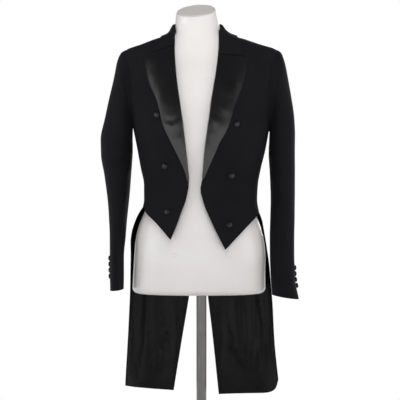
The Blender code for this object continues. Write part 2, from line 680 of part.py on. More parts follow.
def sleeve_point(side, ring, turn):
    """A point on the sleeve's inside: turn 0 is away from the body, 90 in front."""
    if ring <= 0:
        return sleeve_start(side, turn)
    in_x, in_z, out_x, out_z, middle_y, half_depth = SLEEVE_RINGS[side][ring - 1]
    near, far = Vector((side * in_x, middle_y, in_z)), Vector((side * out_x, middle_y, out_z))
    middle, reach = (near + far) / 2, (far - near) / 2
    reach -= reach.normalized() * SLEEVE_WALL
    cosine, sine = math.cos(math.radians(turn)), math.sin(math.radians(turn))
    return middle + reach * cosine - Vector((0, (half_depth - SLEEVE_WALL) * sine, 0))


def sleeve_panel(name, side, turns_at):
    rings = len(SLEEVE_RINGS[side]) + 1
    grid = [[sleeve_point(side, ring, turn) for turn in turns_at(ring)] for ring in range(rings)]
    grid = pull_in(grid, (0, 0, HALF_GAP, HALF_GAP))
    cloth(name, grid, SLEEVE_WALL, (COAT_COLOUR, 0.85), flip=side == LEFT)


def hind_seam(ring):
    return float(smooth_row(HIND_SEAM, ring)[0])


def sleeve(side):
    word = SIDE_NAMES[side]

    def top_turns(ring):
        return spread(FRONT_SEAM_TURN, hind_seam(ring), TOPSLEEVE_COLUMNS)

    def under_turns(ring):
        return spread(hind_seam(ring), FRONT_SEAM_TURN - 360.0, UNDERSLEEVE_COLUMNS)

    sleeve_panel(f"topsleeve_{word}", side, top_turns)
    sleeve_panel(f"undersleeve_{word}", side, under_turns)


# Buttons, turned about their own Z axis.


def turned(name, profile, finish, steps, x=0.0):
    """A profile of (radius, z) from top to bottom, turned round Z."""
    mesh = bpy.data.meshes.new(name)
    points = [(radius, 0.0, z) for radius, z in profile]
    mesh.from_pydata(points, [(i, i + 1) for i in range(len(points) - 1)], [])
    made = add_object(name, mesh, finish, x)
    turn = made.modifiers.new("turn", "SCREW")
    turn.axis = "Z"
    turn.steps = turn.render_steps = steps
    turn.use_merge_vertices = True
    turn.merge_threshold = 0.00005
    return made


def button(name, centre, normal, radius, height):
    """A covered button: a domed top over a flat underside."""
    rim = height * BUTTON_RIM_SHARE
    dome = []
    for bend in (0, 30, 55, 78, 90):
        turn = math.radians(bend)
        dome.append((radius * math.sin(turn), rim + (height - rim) * math.cos(turn)))
    underside = [(radius * BUTTON_FOOT_SHARE, 0.0), (0.0, 0.0)]
    made = turned(name, dome + underside, (SATIN_COLOUR, 0.35), BUTTON_STEPS)
    made.rotation_mode = "QUATERNION"
    made.rotation_quaternion = normal.to_track_quat("Z", "Y")
    made.location = centre + Vector((FORM_X, 0, 0))


def front_buttons(side):
    for number, (z, x) in enumerate(FRONT_BUTTONS[side], start=1):
        angle = angle_at(side, x, z)
        foot = spot(side, angle, z, BODY_WALL + FRONT_BUTTON_STANDOFF)
        normal = (foot - spot(side, angle, z)).normalized()
        name = f"front_button_{SIDE_NAMES[side]}_{number}"
        button(name, foot, normal, FRONT_BUTTON_RADIUS, FRONT_BUTTON_HEIGHT)


def cuff_buttons(side):
    """Four buttons up the hind edge of the cuff, each standing off the cloth."""
    heights = [row[3] for row in SLEEVE_RINGS[side]]
    turn = CUFF_BUTTON_TURN[side]
    for number in range(CUFF_BUTTONS):
        z = CUFF_BUTTON_TOP[side] - number * CUFF_BUTTON_SPACING
        ring = next(i for i in range(len(heights)) if heights[i] < z)
        low, high = sleeve_point(side, ring + 1, turn), sleeve_point(side, ring, turn)
        here = low + (high - low) * ((z - low.z) / (high.z - low.z))
        behind = sleeve_point(side, ring + 1, turn - 6.0) - sleeve_point(side, ring + 1, turn + 6.0)
        normal = behind.cross(high - low).normalized()
        if normal.x * side < 0:
            normal.negate()
        foot = here + normal * (SLEEVE_WALL + CUFF_BUTTON_STANDOFF)
        name = f"cuff_button_{SIDE_NAMES[side]}_{number + 1}"
        button(name, foot, normal, CUFF_BUTTON_RADIUS, CUFF_BUTTON_HEIGHT)


# The dress form and its stand.


def form_ring(z, inset=0.0):
    """The form's surface at one height, drawn in towards the middle."""
    points = []
    for i in range(FORM_COLUMNS):
        angle = 360.0 * i / FORM_COLUMNS
        side = LEFT if angle <= 180.0 else RIGHT
        point = ring_point(FORM_SECTIONS, side, angle if side == LEFT else 360.0 - angle, z)
        flat = point - Vector((0.0, 0.0, z))
        points.append(point - flat.normalized() * inset)
    return points


def neck_top(x, y):
    """The height of the neck's slanted top."""
    middle_x, middle_y = NECK_TOP_MIDDLE
    return NECK_TOP_Z + NECK_TOP_SLOPE_Y * (y - middle_y) + NECK_TOP_SLOPE_X * (x - middle_x)


def neck_ring(share, shrink=1.0, lift=0.0):
    """The neck, from its foot up to its slanted top: share 0 to 1."""
    foot, top = NECK_SECTIONS[0][0], NECK_SECTIONS[-1][0]
    right, left, front, back, middle = smooth_row(NECK_SECTIONS, foot + (top - foot) * share)
    ring = []
    for i in range(FORM_COLUMNS):
        turn = 2 * math.pi * i / FORM_COLUMNS
        across, along = math.sin(turn), math.cos(turn)
        x = middle + (left - middle if across > 0 else middle - right) * across * shrink
        y = (front if along > 0 else back) * abs(along) * shrink
        ring.append(Vector((x, y, foot + (neck_top(x, y) - foot) * share + lift)))
    return ring


def stacked(name, rings, finish):
    """A closed body through rings of points, flat at both ends."""
    count = len(rings[0])
    faces = grid_faces(len(rings), count, closed=True)
    faces.append(tuple(reversed(range(count))))
    faces.append(tuple(range((len(rings) - 1) * count, len(rings) * count)))
    mesh = bpy.data.meshes.new(name)
    mesh.from_pydata([point for ring in rings for point in ring], [], faces)
    mesh.shade_smooth()
    add_object(name, mesh, finish, FORM_X)


def form_torso():
    """The limbless form: a rounded edge at the hips, the torso, and the neck up to its slant."""
    rings = []
    edge_z = FORM_BOTTOM + FORM_EDGE_RADIUS
    for bend in (0, 30, 60, 90):
        turn = math.radians(bend)
        drop = FORM_EDGE_RADIUS * math.cos(turn)
        ring = form_ring(edge_z, FORM_EDGE_RADIUS * (1 - math.sin(turn)))
        rings.append([point - Vector((0.0, 0.0, drop)) for point in ring])
    rings += [form_ring(z) for z in spread(*FORM_CHEST_HEIGHTS, FORM_CHEST_ROWS) + FORM_SHOULDER_HEIGHTS]
    rings += [neck_ring(share) for share in (0.0, 0.3, 0.65, 0.94)]
    rings.append(neck_ring(1.0, NECK_TOP_SHRINK))
    stacked("form_torso", rings, (FORM_COLOUR, 0.30))


def form_neck_cap():
    """A thin cap, slightly domed, on the neck's slanted top."""
    rings = [neck_ring(1.0, shrink, CAP_GAP + rise) for shrink, rise in CAP_PROFILE]
    stacked("form_neck_cap", rings, (CAP_COLOUR, 0.5))


def stand():
    """A straight pole in a socket on a round base."""
    chrome = (CHROME_COLOUR, 0.12, 1.0)
    top, foot = FORM_BOTTOM - SEAM_GAP, BASE_SOCKET_TOP + SEAM_GAP
    tube = [(0.0, top), (POLE_RADIUS, top), (POLE_RADIUS, foot), (0.0, foot)]
    turned("stand_pole", tube, chrome, POLE_STEPS)
    profile = [(0.0, BASE_SOCKET_TOP), (BASE_SOCKET_RADIUS, BASE_SOCKET_TOP)]
    profile.append((BASE_SOCKET_RADIUS, BASE_THICKNESS + BASE_SOCKET_FOOT))
    for bend in (0, 30, 60, 90):
        turn = math.radians(bend)
        reach = BASE_RADIUS - BASE_EDGE_RADIUS * (1 - math.sin(turn))
        profile.append((reach, BASE_THICKNESS - BASE_EDGE_RADIUS * (1 - math.cos(turn))))
    profile += [(BASE_RADIUS, 0.0), (0.0, 0.0)]
    turned("stand_base", profile, chrome, BASE_STEPS)


# The collar.


def leaf_row(side, share):
    """A row of the collar across the front: it wraps the forepart's edge as the lapel does."""
    roll_z, edge_z, edge_x = smooth_row(COLLAR_LEAF[side], share)
    roll_x = float(smooth_row(FRONT_EDGE[side], roll_z)[0])
    row = []
    for inset, out in LEAF_WRAP:
        row.append(spot(side, angle_at(side, roll_x + side * inset, roll_z), roll_z, out))
    for part, out in LEAF_RISE:
        x, z = roll_x + (edge_x - roll_x) * part, roll_z + (edge_z - roll_z) * part
        row.append(spot(side, angle_at(side, x, z), z, out))
    return row


def neck_seam(side, angle):
    """The height of the coat's neck edge, which the collar's stand is sewn to."""
    corner_z = NECK_POINT_Z[side] - NECK_SEAM_DROP
    corner = front_edge(side, corner_z)[0]
    if angle < 90.0:
        return corner_z + NECK_SEAM_DROP * (angle - corner) / (90.0 - corner)
    return NECK_POINT_Z[side] + (BACK_NECK_Z - NECK_POINT_Z[side]) * (angle - 90.0) / 90.0


def neck_row(side, angle):
    """A row of the collar round the neck: up the stand, over the fold and down the fall."""
    fold_z, fall_z = smooth_row(COLLAR_RING, angle)
    seam_z = neck_seam(side, angle)
    seam = spot(side, angle, seam_z + COLLAR_SEAM_LIFT, COLLAR_SEAM_OUT)
    over = spot(side, angle, seam_z, COLLAR_OVER_SEAM)
    fall = spot(side, angle, fall_z, COLLAR_OFF_SHOULDER)
    outward = Vector((fall.x - seam.x, fall.y - seam.y, 0.0)).normalized()
    fold = ring_point(FORM_SECTIONS, side, angle, fold_z) + outward * COLLAR_OFF_NECK
    under_fold = fold - Vector((0.0, 0.0, COLLAR_FOLD_DROP))
    turned_over = fold + outward * COLLAR_FOLD_WIDTH
    halfway = turned_over.lerp(over, 0.5) + outward * COLLAR_BELLY
    middle = spot(side, angle, (seam_z + fall_z) / 2, COLLAR_OVER_SEAM + COLLAR_BELLY)
    return [seam, seam.lerp(fold, 0.5), under_fold, turned_over, halfway, over, middle, fall]


def corner_row(side, rows):
    """The row at the forepart's neck corner, on a smooth curve through the rows either side of it."""
    row = [(9 * (b + c) - a - d) / 16 for a, b, c, d in zip(*rows)]
    for j, inset in enumerate(CORNER_CLEARANCE):
        row[j].x -= side * inset
    return row


def collar():
    """Stand and fall in one sheet, from one gorge round the back of the neck to the other."""
    grid = []
    for side in (RIGHT, LEFT):
        half = [leaf_row(side, share) for share in LEAF_SHARES]
        round_neck = [neck_row(side, angle) for angle in NECK_ANGLES]
        half.append(corner_row(side, half[-2:] + round_neck[:2]))
        half += round_neck
        grid += half if side == RIGHT else half[::-1][1:]
    cloth("collar", grid, COLLAR_WALL, (COAT_COLOUR, 0.8), flip=True)


for side in (RIGHT, LEFT):
    forepart(side)
    sidebody(side)
    back(side)
    skirt(side)
    tail_lining(side)
    lapel(side)
    sleeve(side)
    front_buttons(side)
    cuff_buttons(side)
collar()
form_torso()
form_neck_cap()
stand()
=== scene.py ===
import math

import bpy
import numpy as np
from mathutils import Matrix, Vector, noise


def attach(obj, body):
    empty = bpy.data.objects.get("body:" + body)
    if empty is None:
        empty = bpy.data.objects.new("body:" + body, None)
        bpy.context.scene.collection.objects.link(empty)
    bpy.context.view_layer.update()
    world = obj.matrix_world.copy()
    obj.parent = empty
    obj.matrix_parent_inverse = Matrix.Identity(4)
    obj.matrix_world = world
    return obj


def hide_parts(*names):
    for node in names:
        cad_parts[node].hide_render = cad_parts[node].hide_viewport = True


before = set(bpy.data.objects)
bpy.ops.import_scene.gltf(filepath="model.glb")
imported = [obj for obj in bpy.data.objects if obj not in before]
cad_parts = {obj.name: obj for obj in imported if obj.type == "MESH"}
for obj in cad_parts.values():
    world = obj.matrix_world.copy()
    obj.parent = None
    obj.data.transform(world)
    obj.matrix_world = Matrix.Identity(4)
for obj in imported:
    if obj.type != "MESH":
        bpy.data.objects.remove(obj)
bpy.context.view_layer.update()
print("frame loaded")

# metres, Z up, the coat faces -Y, the wearer's right is at -X
right, left = -1, 1
sides = (right, left)
word = {right: "Right", left: "Left"}
nodeWord = {right: "right", left: "left"}
formX = -0.004  # coat and form hang this far off the pole's axis
squareness = 2.3


# finishes

def newStuff(name):
    # a finish, its nodes and links, its surface and the place on the piece
    stuff = bpy.data.materials.new(name)
    stuff.use_nodes = True
    nodes, links = stuff.node_tree.nodes, stuff.node_tree.links
    return stuff, nodes, links, nodes["Principled BSDF"], nodes.new("ShaderNodeTexCoord").outputs["Object"]


def putIn(node, values):
    for key, value in values.items():
        node.inputs[key].default_value = value


def noiseNode(nodes, links, where, scale, detail, roughness=0.5):
    made = nodes.new("ShaderNodeTexNoise")
    putIn(made, {"Scale": scale, "Detail": detail, "Roughness": roughness})
    links.new(where, made.inputs["Vector"])
    return made.outputs["Fac"]


def twoTone(nodes, links, mask, dark, light, low=0.3, high=0.7):
    ramp = nodes.new("ShaderNodeValToRGB")
    ramp.color_ramp.elements[0].position, ramp.color_ramp.elements[1].position = low, high
    ramp.color_ramp.elements[0].color, ramp.color_ramp.elements[1].color = (*dark, 1), (*light, 1)
    links.new(mask, ramp.inputs[0])
    return ramp.outputs[0]


def spanned(nodes, links, value, low, high, start=0.0, end=1.0):
    # as the value runs from start to end, the result runs from low to high
    made = nodes.new("ShaderNodeMapRange")
    putIn(made, {"From Min": start, "From Max": end, "To Min": low, "To Max": high})
    links.new(value, made.inputs["Value"])
    return made.outputs[0]


def mathNode(nodes, links, kind, a, b):
    made = nodes.new("ShaderNodeMath")
    made.operation = kind
    for k, value in enumerate((a, b)):
        if isinstance(value, (int, float)):
            made.inputs[k].default_value = value
        else:
            links.new(value, made.inputs[k])
    return made.outputs[0]


def ribs(nodes, links, where, turn, scale, distortion):
    # fine parallel ribs, as yarns lie in cloth
    mapping = nodes.new("ShaderNodeMapping")
    putIn(mapping, {"Rotation": turn})
    links.new(where, mapping.inputs["Vector"])
    wave = nodes.new("ShaderNodeTexWave")
    putIn(wave, {"Scale": scale, "Distortion": distortion, "Detail": 1.5, "Detail Scale": 3.0})
    links.new(mapping.outputs[0], wave.inputs["Vector"])
    return wave.outputs["Fac"]


def bumped(nodes, links, surface, layers):
    # layers of (height, strength, distance), the first lowest
    last = None
    for height, strength, distance in layers:
        bump = nodes.new("ShaderNodeBump")
        putIn(bump, {"Strength": strength, "Distance": distance})
        links.new(height, bump.inputs["Height"])
        if last is not None:
            links.new(last, bump.inputs["Normal"])
        last = bump.outputs[0]
    links.new(last, surface.inputs["Normal"])


def clothStuff(name, look):
    stuff, nodes, links, surface, where = newStuff(name)
    cloudy = noiseNode(nodes, links, where, look["cloudScale"], 4.0)
    fibre = noiseNode(nodes, links, where, look["fibreScale"], 3.0, 0.65)
    both = mathNode(nodes, links, "ADD", mathNode(nodes, links, "MULTIPLY", cloudy, 0.6),
                    mathNode(nodes, links, "MULTIPLY", fibre, 0.4))
    links.new(twoTone(nodes, links, both, look["dark"], look["light"]), surface.inputs["Base Color"])
    links.new(spanned(nodes, links, both, *look["roughness"]), surface.inputs["Roughness"])
    one = ribs(nodes, links, where, (0.0, 0.0, 0.0), look["ribScale"], 0.6)
    two = ribs(nodes, links, where, look["twillTurn"], look["ribScale"] * 0.82, 0.8)
    weave = mathNode(nodes, links, "MULTIPLY", one, two)
    bumped(nodes, links, surface, [
        (cloudy, look["cloudBump"], 0.002), (fibre, look["fibreBump"], 0.0003), (weave, look["weaveBump"], 0.0002),
    ])
    putIn(surface, {"Specular IOR Level": look["specular"], "Sheen Weight": look["sheen"]})
    putIn(surface, {"Sheen Roughness": look["sheenRoughness"], "Sheen Tint": (*look["sheenTint"], 1)})
    return stuff


blackWool = clothStuff("blackWool", {
    "dark": (0.0050, 0.0045, 0.0058), "light": (0.0092, 0.0083, 0.0106), "roughness": (0.80, 0.94), "specular": 0.15,
    "sheen": 0.02, "sheenRoughness": 0.45, "sheenTint": (0.80, 0.80, 0.90), "cloudScale": 9.0, "fibreScale": 900.0,
    "ribScale": 420.0, "twillTurn": (0.5, 0.9, 0.8), "cloudBump": 0.10, "fibreBump": 0.45, "weaveBump": 0.5,
})
blackSatin = clothStuff("blackSatin", {
    "dark": (0.0034, 0.0031, 0.0038), "light": (0.0064, 0.0058, 0.0070), "roughness": (0.22, 0.30), "specular": 0.75,
    "sheen": 0.02, "sheenRoughness": 0.30, "sheenTint": (0.95, 0.93, 1.0), "cloudScale": 14.0, "fibreScale": 700.0,
    "ribScale": 900.0, "twillTurn": (0.2, 0.3, 1.1), "cloudBump": 0.22, "fibreBump": 0.08, "weaveBump": 0.10,
})
tailSatin = clothStuff("tailSatin", {
    "dark": (0.0022, 0.0020, 0.0028), "light": (0.0046, 0.0041, 0.0056), "roughness": (0.22, 0.32), "specular": 0.18,
    "sheen": 0.01, "sheenRoughness": 0.35, "sheenTint": (1.0, 0.93, 1.0), "cloudScale": 18.0, "fibreScale": 700.0,
    "ribScale": 800.0, "twillTurn": (0.2, 0.3, 1.1), "cloudBump": 0.40, "fibreBump": 0.10, "weaveBump": 0.12,
})
buttonSilk = clothStuff("buttonSilk", {
    "dark": (0.0030, 0.0027, 0.0034), "light": (0.0060, 0.0055, 0.0068), "roughness": (0.26, 0.38), "specular": 0.5,
    "sheen": 0.02, "sheenRoughness": 0.30, "sheenTint": (0.95, 0.93, 1.0), "cloudScale": 60.0, "fibreScale": 1200.0,
    "ribScale": 1300.0, "twillTurn": (0.4, 0.7, 1.0), "cloudBump": 0.15, "fibreBump": 0.25, "weaveBump": 0.45,
})


# a scratched ring's half width, the noise it is broken up by and where that noise lets it show
scratch = {"width": 0.0012, "patchScale": 90.0, "shows": (0.47, 0.56)}


def shellStuff(name, look):
    # moulded shell: clear gloss over paint, with faint rubbed marks
    stuff, nodes, links, surface, where = newStuff(name)
    cloudy = noiseNode(nodes, links, where, 5.0, 5.0)
    marks = noiseNode(nodes, links, where, look["markScale"], 6.0, 0.7)
    ground = twoTone(nodes, links, cloudy, look["dark"], look["light"], 0.35, 0.65)
    worn = spanned(nodes, links, marks, 0.0, 1.0, *look["markFrom"])
    for place, radius in look["rings"]:
        # a broken ring scratched round a place on the front
        away = nodes.new("ShaderNodeVectorMath")
        away.operation = "DISTANCE"
        links.new(where, away.inputs[0])
        away.inputs[1].default_value = place
        offLine = mathNode(nodes, links, "SUBTRACT", away.outputs["Value"], radius)
        offLine = mathNode(nodes, links, "ABSOLUTE", offLine, 0.0)
        ring = spanned(nodes, links, offLine, 0.0, 1.0, scratch["width"], 0.0)
        patches = noiseNode(nodes, links, where, scratch["patchScale"], 2.0)
        broken = spanned(nodes, links, patches, 0.0, 1.0, *scratch["shows"])
        worn = mathNode(nodes, links, "MAXIMUM", worn, mathNode(nodes, links, "MULTIPLY", ring, broken))
    mix = nodes.new("ShaderNodeMix")
    mix.data_type = "RGBA"
    links.new(mathNode(nodes, links, "MULTIPLY", worn, look["markDepth"]), mix.inputs["Factor"])
    links.new(ground, mix.inputs["A"])
    mix.inputs["B"].default_value = (*look["mark"], 1)
    links.new(mix.outputs["Result"], surface.inputs["Base Color"])
    links.new(spanned(nodes, links, marks, *look["roughness"]), surface.inputs["Roughness"])
    bumped(nodes, links, surface, [(cloudy, look["bump"], 0.002)])
    putIn(surface, {"Coat Weight": look["coat"], "Coat Roughness": 0.12})
    return stuff


formShell = shellStuff("formShell", {
    "dark": (0.76, 0.735, 0.715), "light": (0.82, 0.80, 0.785), "mark": (0.50, 0.47, 0.43), "markScale": 26.0,
    "markFrom": (0.66, 0.78), "markDepth": 0.55, "roughness": (0.28, 0.42), "bump": 0.05, "coat": 0.3,
    "rings": [((0.022, -0.105, 1.425), 0.008), ((0.034, -0.10, 1.422), 0.009), ((0.052, -0.12, 0.975), 0.012),
              ((0.066, -0.12, 0.982), 0.014), ((-0.074, -0.115, 0.950), 0.006)],
})
# the neck cap is the same moulding as the shell; its darker grey is painted shade, standing in for its top face being
# less lit, while its marks are rubbed wear
capPaintedShade = shellStuff("capPaintedShade", {
    "dark": (0.54, 0.515, 0.50), "light": (0.62, 0.60, 0.58), "mark": (0.36, 0.34, 0.33), "markScale": 40.0,
    "markFrom": (0.62, 0.78), "markDepth": 0.4, "roughness": (0.36, 0.5), "bump": 0.08, "coat": 0.10, "rings": [],
})


def chromeStuff():
    stuff, nodes, links, surface, where = newStuff("chromeTube")
    mapping = nodes.new("ShaderNodeMapping")
    putIn(mapping, {"Scale": (40.0, 40.0, 1.5)})
    links.new(where, mapping.inputs["Vector"])
    drawn = noiseNode(nodes, links, mapping.outputs[0], 14.0, 4.0, 0.6)
    links.new(twoTone(nodes, links, drawn, (0.11, 0.105, 0.10), (0.17, 0.165, 0.16)), surface.inputs["Base Color"])
    links.new(spanned(nodes, links, drawn, 0.07, 0.17), surface.inputs["Roughness"])
    bumped(nodes, links, surface, [(drawn, 0.02, 0.0005)])
    putIn(surface, {"Metallic": 1.0})
    return stuff


def floorStuff():
    stuff, nodes, links, surface, where = newStuff("floorPaint")
    cloudy = noiseNode(nodes, links, where, 2.0, 3.0)
    links.new(twoTone(nodes, links, cloudy, (0.84, 0.84, 0.84), (0.88, 0.88, 0.88)), surface.inputs["Base Color"])
    putIn(surface, {"Roughness": 0.7})
    return stuff


chrome = chromeStuff()
floorPaint = floorStuff()
print("finishes mixed")


# numbers and curves

def curveThrough(rows, at):
    # smooth values of a table's other columns where its first column is at, with no overshoot
    table = np.array(rows, float)
    if table[0, 0] > table[-1, 0]:
        table = table[::-1]
    key, values = table[:, 0], table[:, 1:]
    at = np.clip(np.asarray(at, float), key[0], key[-1])
    slopes = np.diff(values, axis=0) / np.diff(key)[:, None]
    before, after = slopes[:-1], slopes[1:]
    same = before * after > 0
    middle = np.where(same, 2 * before * after / np.where(same, before + after, 1.0), 0.0)
    tangents = np.vstack([slopes[:1], middle, slopes[-1:]])
    i = np.clip(np.searchsorted(key, at) - 1, 0, len(key) - 2)
    step = (key[i + 1] - key[i])[..., None]
    t = (at - key[i])[..., None] / step
    start = (1 + 2 * t) * (1 - t) ** 2 * values[i] + t * (1 - t) ** 2 * step * tangents[i]
    end = t * t * (3 - 2 * t) * values[i + 1] + t * t * (t - 1) * step * tangents[i + 1]
    return start + end


def one(rows, at):
    return float(curveThrough(rows, at)[0])


def between(grid, rowAt, columnAt):
    # a finer grid, smooth through every point of a coarse one
    grid = np.asarray(grid, float)
    for axis, at in ((0, rowAt), (1, columnAt)):
        moved = np.moveaxis(grid, axis, 0)
        flat = moved.reshape(len(moved), -1)
        table = np.column_stack([np.arange(len(moved)), flat])
        fine = curveThrough(table, at).reshape((len(at),) + moved.shape[1:])
        grid = np.moveaxis(fine, 0, axis)
    return grid


def edgeSpaced(cells, count, length):
    # index positions along a side: close together next to both ends, even between
    near = [distance / length for distance in (0.0, 0.0006, 0.0018, 0.0042)]
    body = list(np.linspace(near[-1], 1 - near[-1], count))[1:-1]
    return np.array(near + body + [1 - s for s in near[::-1]]) * cells


def unit(vectors):
    return vectors / np.maximum(np.linalg.norm(vectors, axis=-1, keepdims=True), 1e-9)


def noiseAt(points, size, seed):
    flat = points.reshape(-1, 3)
    shift = Vector((seed * 3.1, seed * 1.7, seed * 2.3))
    values = [noise.noise(Vector(p) / size + shift) for p in flat.tolist()]
    return np.array(values).reshape(points.shape[:-1])


# the coat's inside, as a surface of angle round the body (0 in front) and height
# z, then how far it reaches to the wearer's right and left, front and back, and its middle
coatSections = [
    # z, right, left, front, back, middle
    (0.500, -0.229, 0.246, -0.150, 0.150, 0.002),
    (0.600, -0.223, 0.234, -0.150, 0.147, 0.001),
    (0.700, -0.216, 0.222, -0.150, 0.144, 0.000),
    (0.820, -0.2085, 0.2145, -0.148, 0.141, -0.001),
    (0.920, -0.205, 0.204, -0.142, 0.139, -0.002),
    (0.980, -0.202, 0.192, -0.135, 0.134, -0.002),
    (1.010, -0.195, 0.184, -0.130, 0.126, -0.003),
    (1.040, -0.182, 0.174, -0.126, 0.114, -0.003),
    (1.065, -0.168, 0.164, -0.123, 0.105, -0.003),
    (1.080, -0.1585, 0.1605, -0.121, 0.101, -0.004),
    (1.100, -0.1545, 0.1580, -0.119, 0.098, -0.004),
    (1.140, -0.1545, 0.1600, -0.119, 0.098, -0.005),
    (1.190, -0.1640, 0.1690, -0.122, 0.102, -0.006),
    (1.240, -0.1730, 0.1815, -0.127, 0.108, -0.007),
    (1.300, -0.1850, 0.1920, -0.129, 0.114, -0.008),
    (1.340, -0.1955, 0.2000, -0.127, 0.1165, -0.009),
    (1.380, -0.2060, 0.2090, -0.122, 0.117, -0.010),
    (1.420, -0.2130, 0.2155, -0.115, 0.1145, -0.010),
    (1.460, -0.2165, 0.2190, -0.104, 0.109, -0.010),
    (1.490, -0.2170, 0.2200, -0.094, 0.102, -0.010),
    (1.508, -0.2135, 0.2185, -0.086, 0.097, -0.010),
    (1.519, -0.2035, 0.2105, -0.080, 0.093, -0.010),
    (1.530, -0.1710, 0.1760, -0.074, 0.089, -0.010),
    (1.541, -0.1420, 0.1430, -0.069, 0.085, -0.010),
    (1.549, -0.1180, 0.1170, -0.065, 0.0825, -0.010),
    (1.553, -0.0990, 0.0960, -0.063, 0.081, -0.010),
    (1.560, -0.0870, 0.0800, -0.060, 0.0785, -0.009),
    (1.572, -0.0790, 0.0670, -0.055, 0.075, -0.008),
    (1.590, -0.0745, 0.0600, -0.051, 0.072, -0.007),
]

armholes = {
    right: {"middleZ": 1.4090, "halfHeight": 0.1100, "frontDepth": 0.063, "backDepth": 0.066},
    left: {"middleZ": 1.4050, "halfHeight": 0.1150, "frontDepth": 0.063, "backDepth": 0.066},
}
armholeBackTurn = -118.0  # where the curved back seam meets the armhole

# height and angle of the seams, height and x of the pleat and vent
underarmSeam = [(1.060, 82.0), (1.120, 83.5), (1.200, 86.5), (1.300, 90.0)]
backSeam = [(1.078, 163.0), (1.140, 160.0), (1.200, 154.5), (1.270, 145.0), (1.330, 132.0), (1.380, 120.0)]
skirtFront = [
    (0.530, 111.0), (0.820, 110.0), (0.950, 108.0), (1.000, 104.0), (1.030, 99.0), (1.060, 91.0), (1.081, 83.0),
]
pleatX = {
    right: [(0.545, -0.137), (0.700, -0.108), (0.820, -0.085), (0.950, -0.061), (1.040, -0.044), (1.078, -0.036)],
    left: [(0.533, 0.119), (0.700, 0.095), (0.820, 0.077), (0.950, 0.055), (1.040, 0.038), (1.078, 0.030)],
}
ventX = {
    right: [(0.545, -0.077), (0.700, -0.052), (0.820, -0.032), (0.950, -0.014), (1.040, -0.0055), (1.078, -0.0042)],
    left: [(0.533, 0.0550), (0.700, 0.0375), (0.820, 0.0230), (0.950, 0.0080), (1.040, -0.0025), (1.078, -0.0038)],
}
hemAtVent = {right: 0.545, left: 0.533}
hem = {
    right: [(0.0, 0.571), (0.5, 0.5605), (1.0, 0.552)],
    left: [(0.0, 0.588), (0.12, 0.565), (0.25, 0.552), (0.5, 0.543), (1.0, 0.537)],
}

# height and x of each front's edge: roll line, break, then the cutaway to the point
frontEdge = {
    right: [
        (0.992, -0.0790), (1.014, -0.0700), (1.046, -0.0565), (1.079, -0.0460), (1.111, -0.0350),
        (1.143, -0.0280), (1.159, -0.0295), (1.216, -0.0350), (1.288, -0.0430), (1.348, -0.0510),
        (1.405, -0.0595), (1.475, -0.0670), (1.530, -0.0695), (1.590, -0.0700),
    ],
    left: [
        (0.9655, 0.0680), (0.998, 0.0515), (1.030, 0.0350), (1.0625, 0.0220), (1.095, 0.0085),
        (1.127, 0.0010), (1.168, 0.0060), (1.225, 0.0110), (1.290, 0.0190), (1.330, 0.0250),
        (1.371, 0.0300), (1.420, 0.0385), (1.478, 0.0470), (1.530, 0.0520), (1.594, 0.0520),
    ],
}
breakZ = {right: 1.149, left: 1.157}
waistZ = {right: 1.081, left: 1.064}
neckPointZ = {right: 1.568, left: 1.573}
backWaistZ, backNeckZ = 1.078, 1.574
neckSeamDrop = 0.010
shoulderShares = (0.0, 0.25, 0.48, 0.62, 0.71, 0.84, 1.0)
tailRows = 12  # rows of a panel's net from its hem up to the waist
rollRelief = {"atBreak": 0.0027, "atNeck": 0.0020, "over": 0.014, "below": 0.013, "neckFrom": 1.538}


def bodyPoint(sections, side, angle, z):
    rows = curveThrough(sections, z)
    turn = np.radians(angle)
    sine, cosine = np.sin(turn), np.cos(turn)
    across = np.sign(sine) * np.abs(sine) ** (2 / squareness)
    along = np.abs(cosine) ** (2 / squareness)
    reach = rows[..., 0] if side == right else rows[..., 1]
    depth = np.where(cosine > 0, rows[..., 2], rows[..., 3])
    middle = rows[..., 4]
    return np.stack([middle + (reach - middle) * across, depth * along, np.asarray(z, float) + 0 * across], -1)


def bodyNormal(side, angle, z):
    angle, z = np.asarray(angle, float), np.asarray(z, float)
    turned = bodyPoint(coatSections, side, angle + 0.6, z) - bodyPoint(coatSections, side, angle - 0.6, z)
    raised = bodyPoint(coatSections, side, angle, z + 0.002) - bodyPoint(coatSections, side, angle, z - 0.002)
    return unit(np.cross(turned, raised)) * side


def spot(side, angle, z, out=0.0):
    return bodyPoint(coatSections, side, angle, z) + bodyNormal(side, angle, z) * out


def angleAt(side, x, z, back=False):
    rows = curveThrough(coatSections, z)
    reach = rows[0] if side == right else rows[1]
    share = min(max((x - rows[4]) / (reach - rows[4]), -1.0), 1.0)
    turn = math.degrees(math.asin(math.copysign(abs(share) ** (squareness / 2), share)))
    return 180.0 - turn if back else turn


def armhole(side, turn):
    # angle and height on the armhole: turn 0 is its top, 90 its front, -90 its back
    egg = armholes[side]
    z = egg["middleZ"] + egg["halfHeight"] * math.cos(math.radians(turn))
    rows = curveThrough(coatSections, z)
    forward = math.sin(math.radians(turn))
    share = egg["frontDepth"] * forward / -rows[2] if forward > 0 else egg["backDepth"] * forward / rows[3]
    return math.degrees(math.acos(math.copysign(abs(share) ** (squareness / 2), share))), z


def spread(start, end, count):
    return list(np.linspace(start, end, count))


def rowBetween(first, last, columns):
    return list(zip(spread(first[0], last[0], columns), spread(first[1], last[1], columns)))


def seamNet(bottom, top, first, last):
    # a net of (angle, z) between four edges that share their corners
    bottom, top, first, last = [np.array(edge, float) for edge in (bottom, top, first, last)]
    v = np.linspace(0, 1, len(first))[:, None, None]
    u = np.linspace(0, 1, len(bottom))[None, :, None]
    up = (1 - v) * bottom[None] + v * top[None]
    across = (1 - u) * first[:, None] + u * last[:, None]
    low = (1 - u) * bottom[0] + u * bottom[-1]
    high = (1 - u) * top[0] + u * top[-1]
    return up + across - (1 - v) * low - v * high


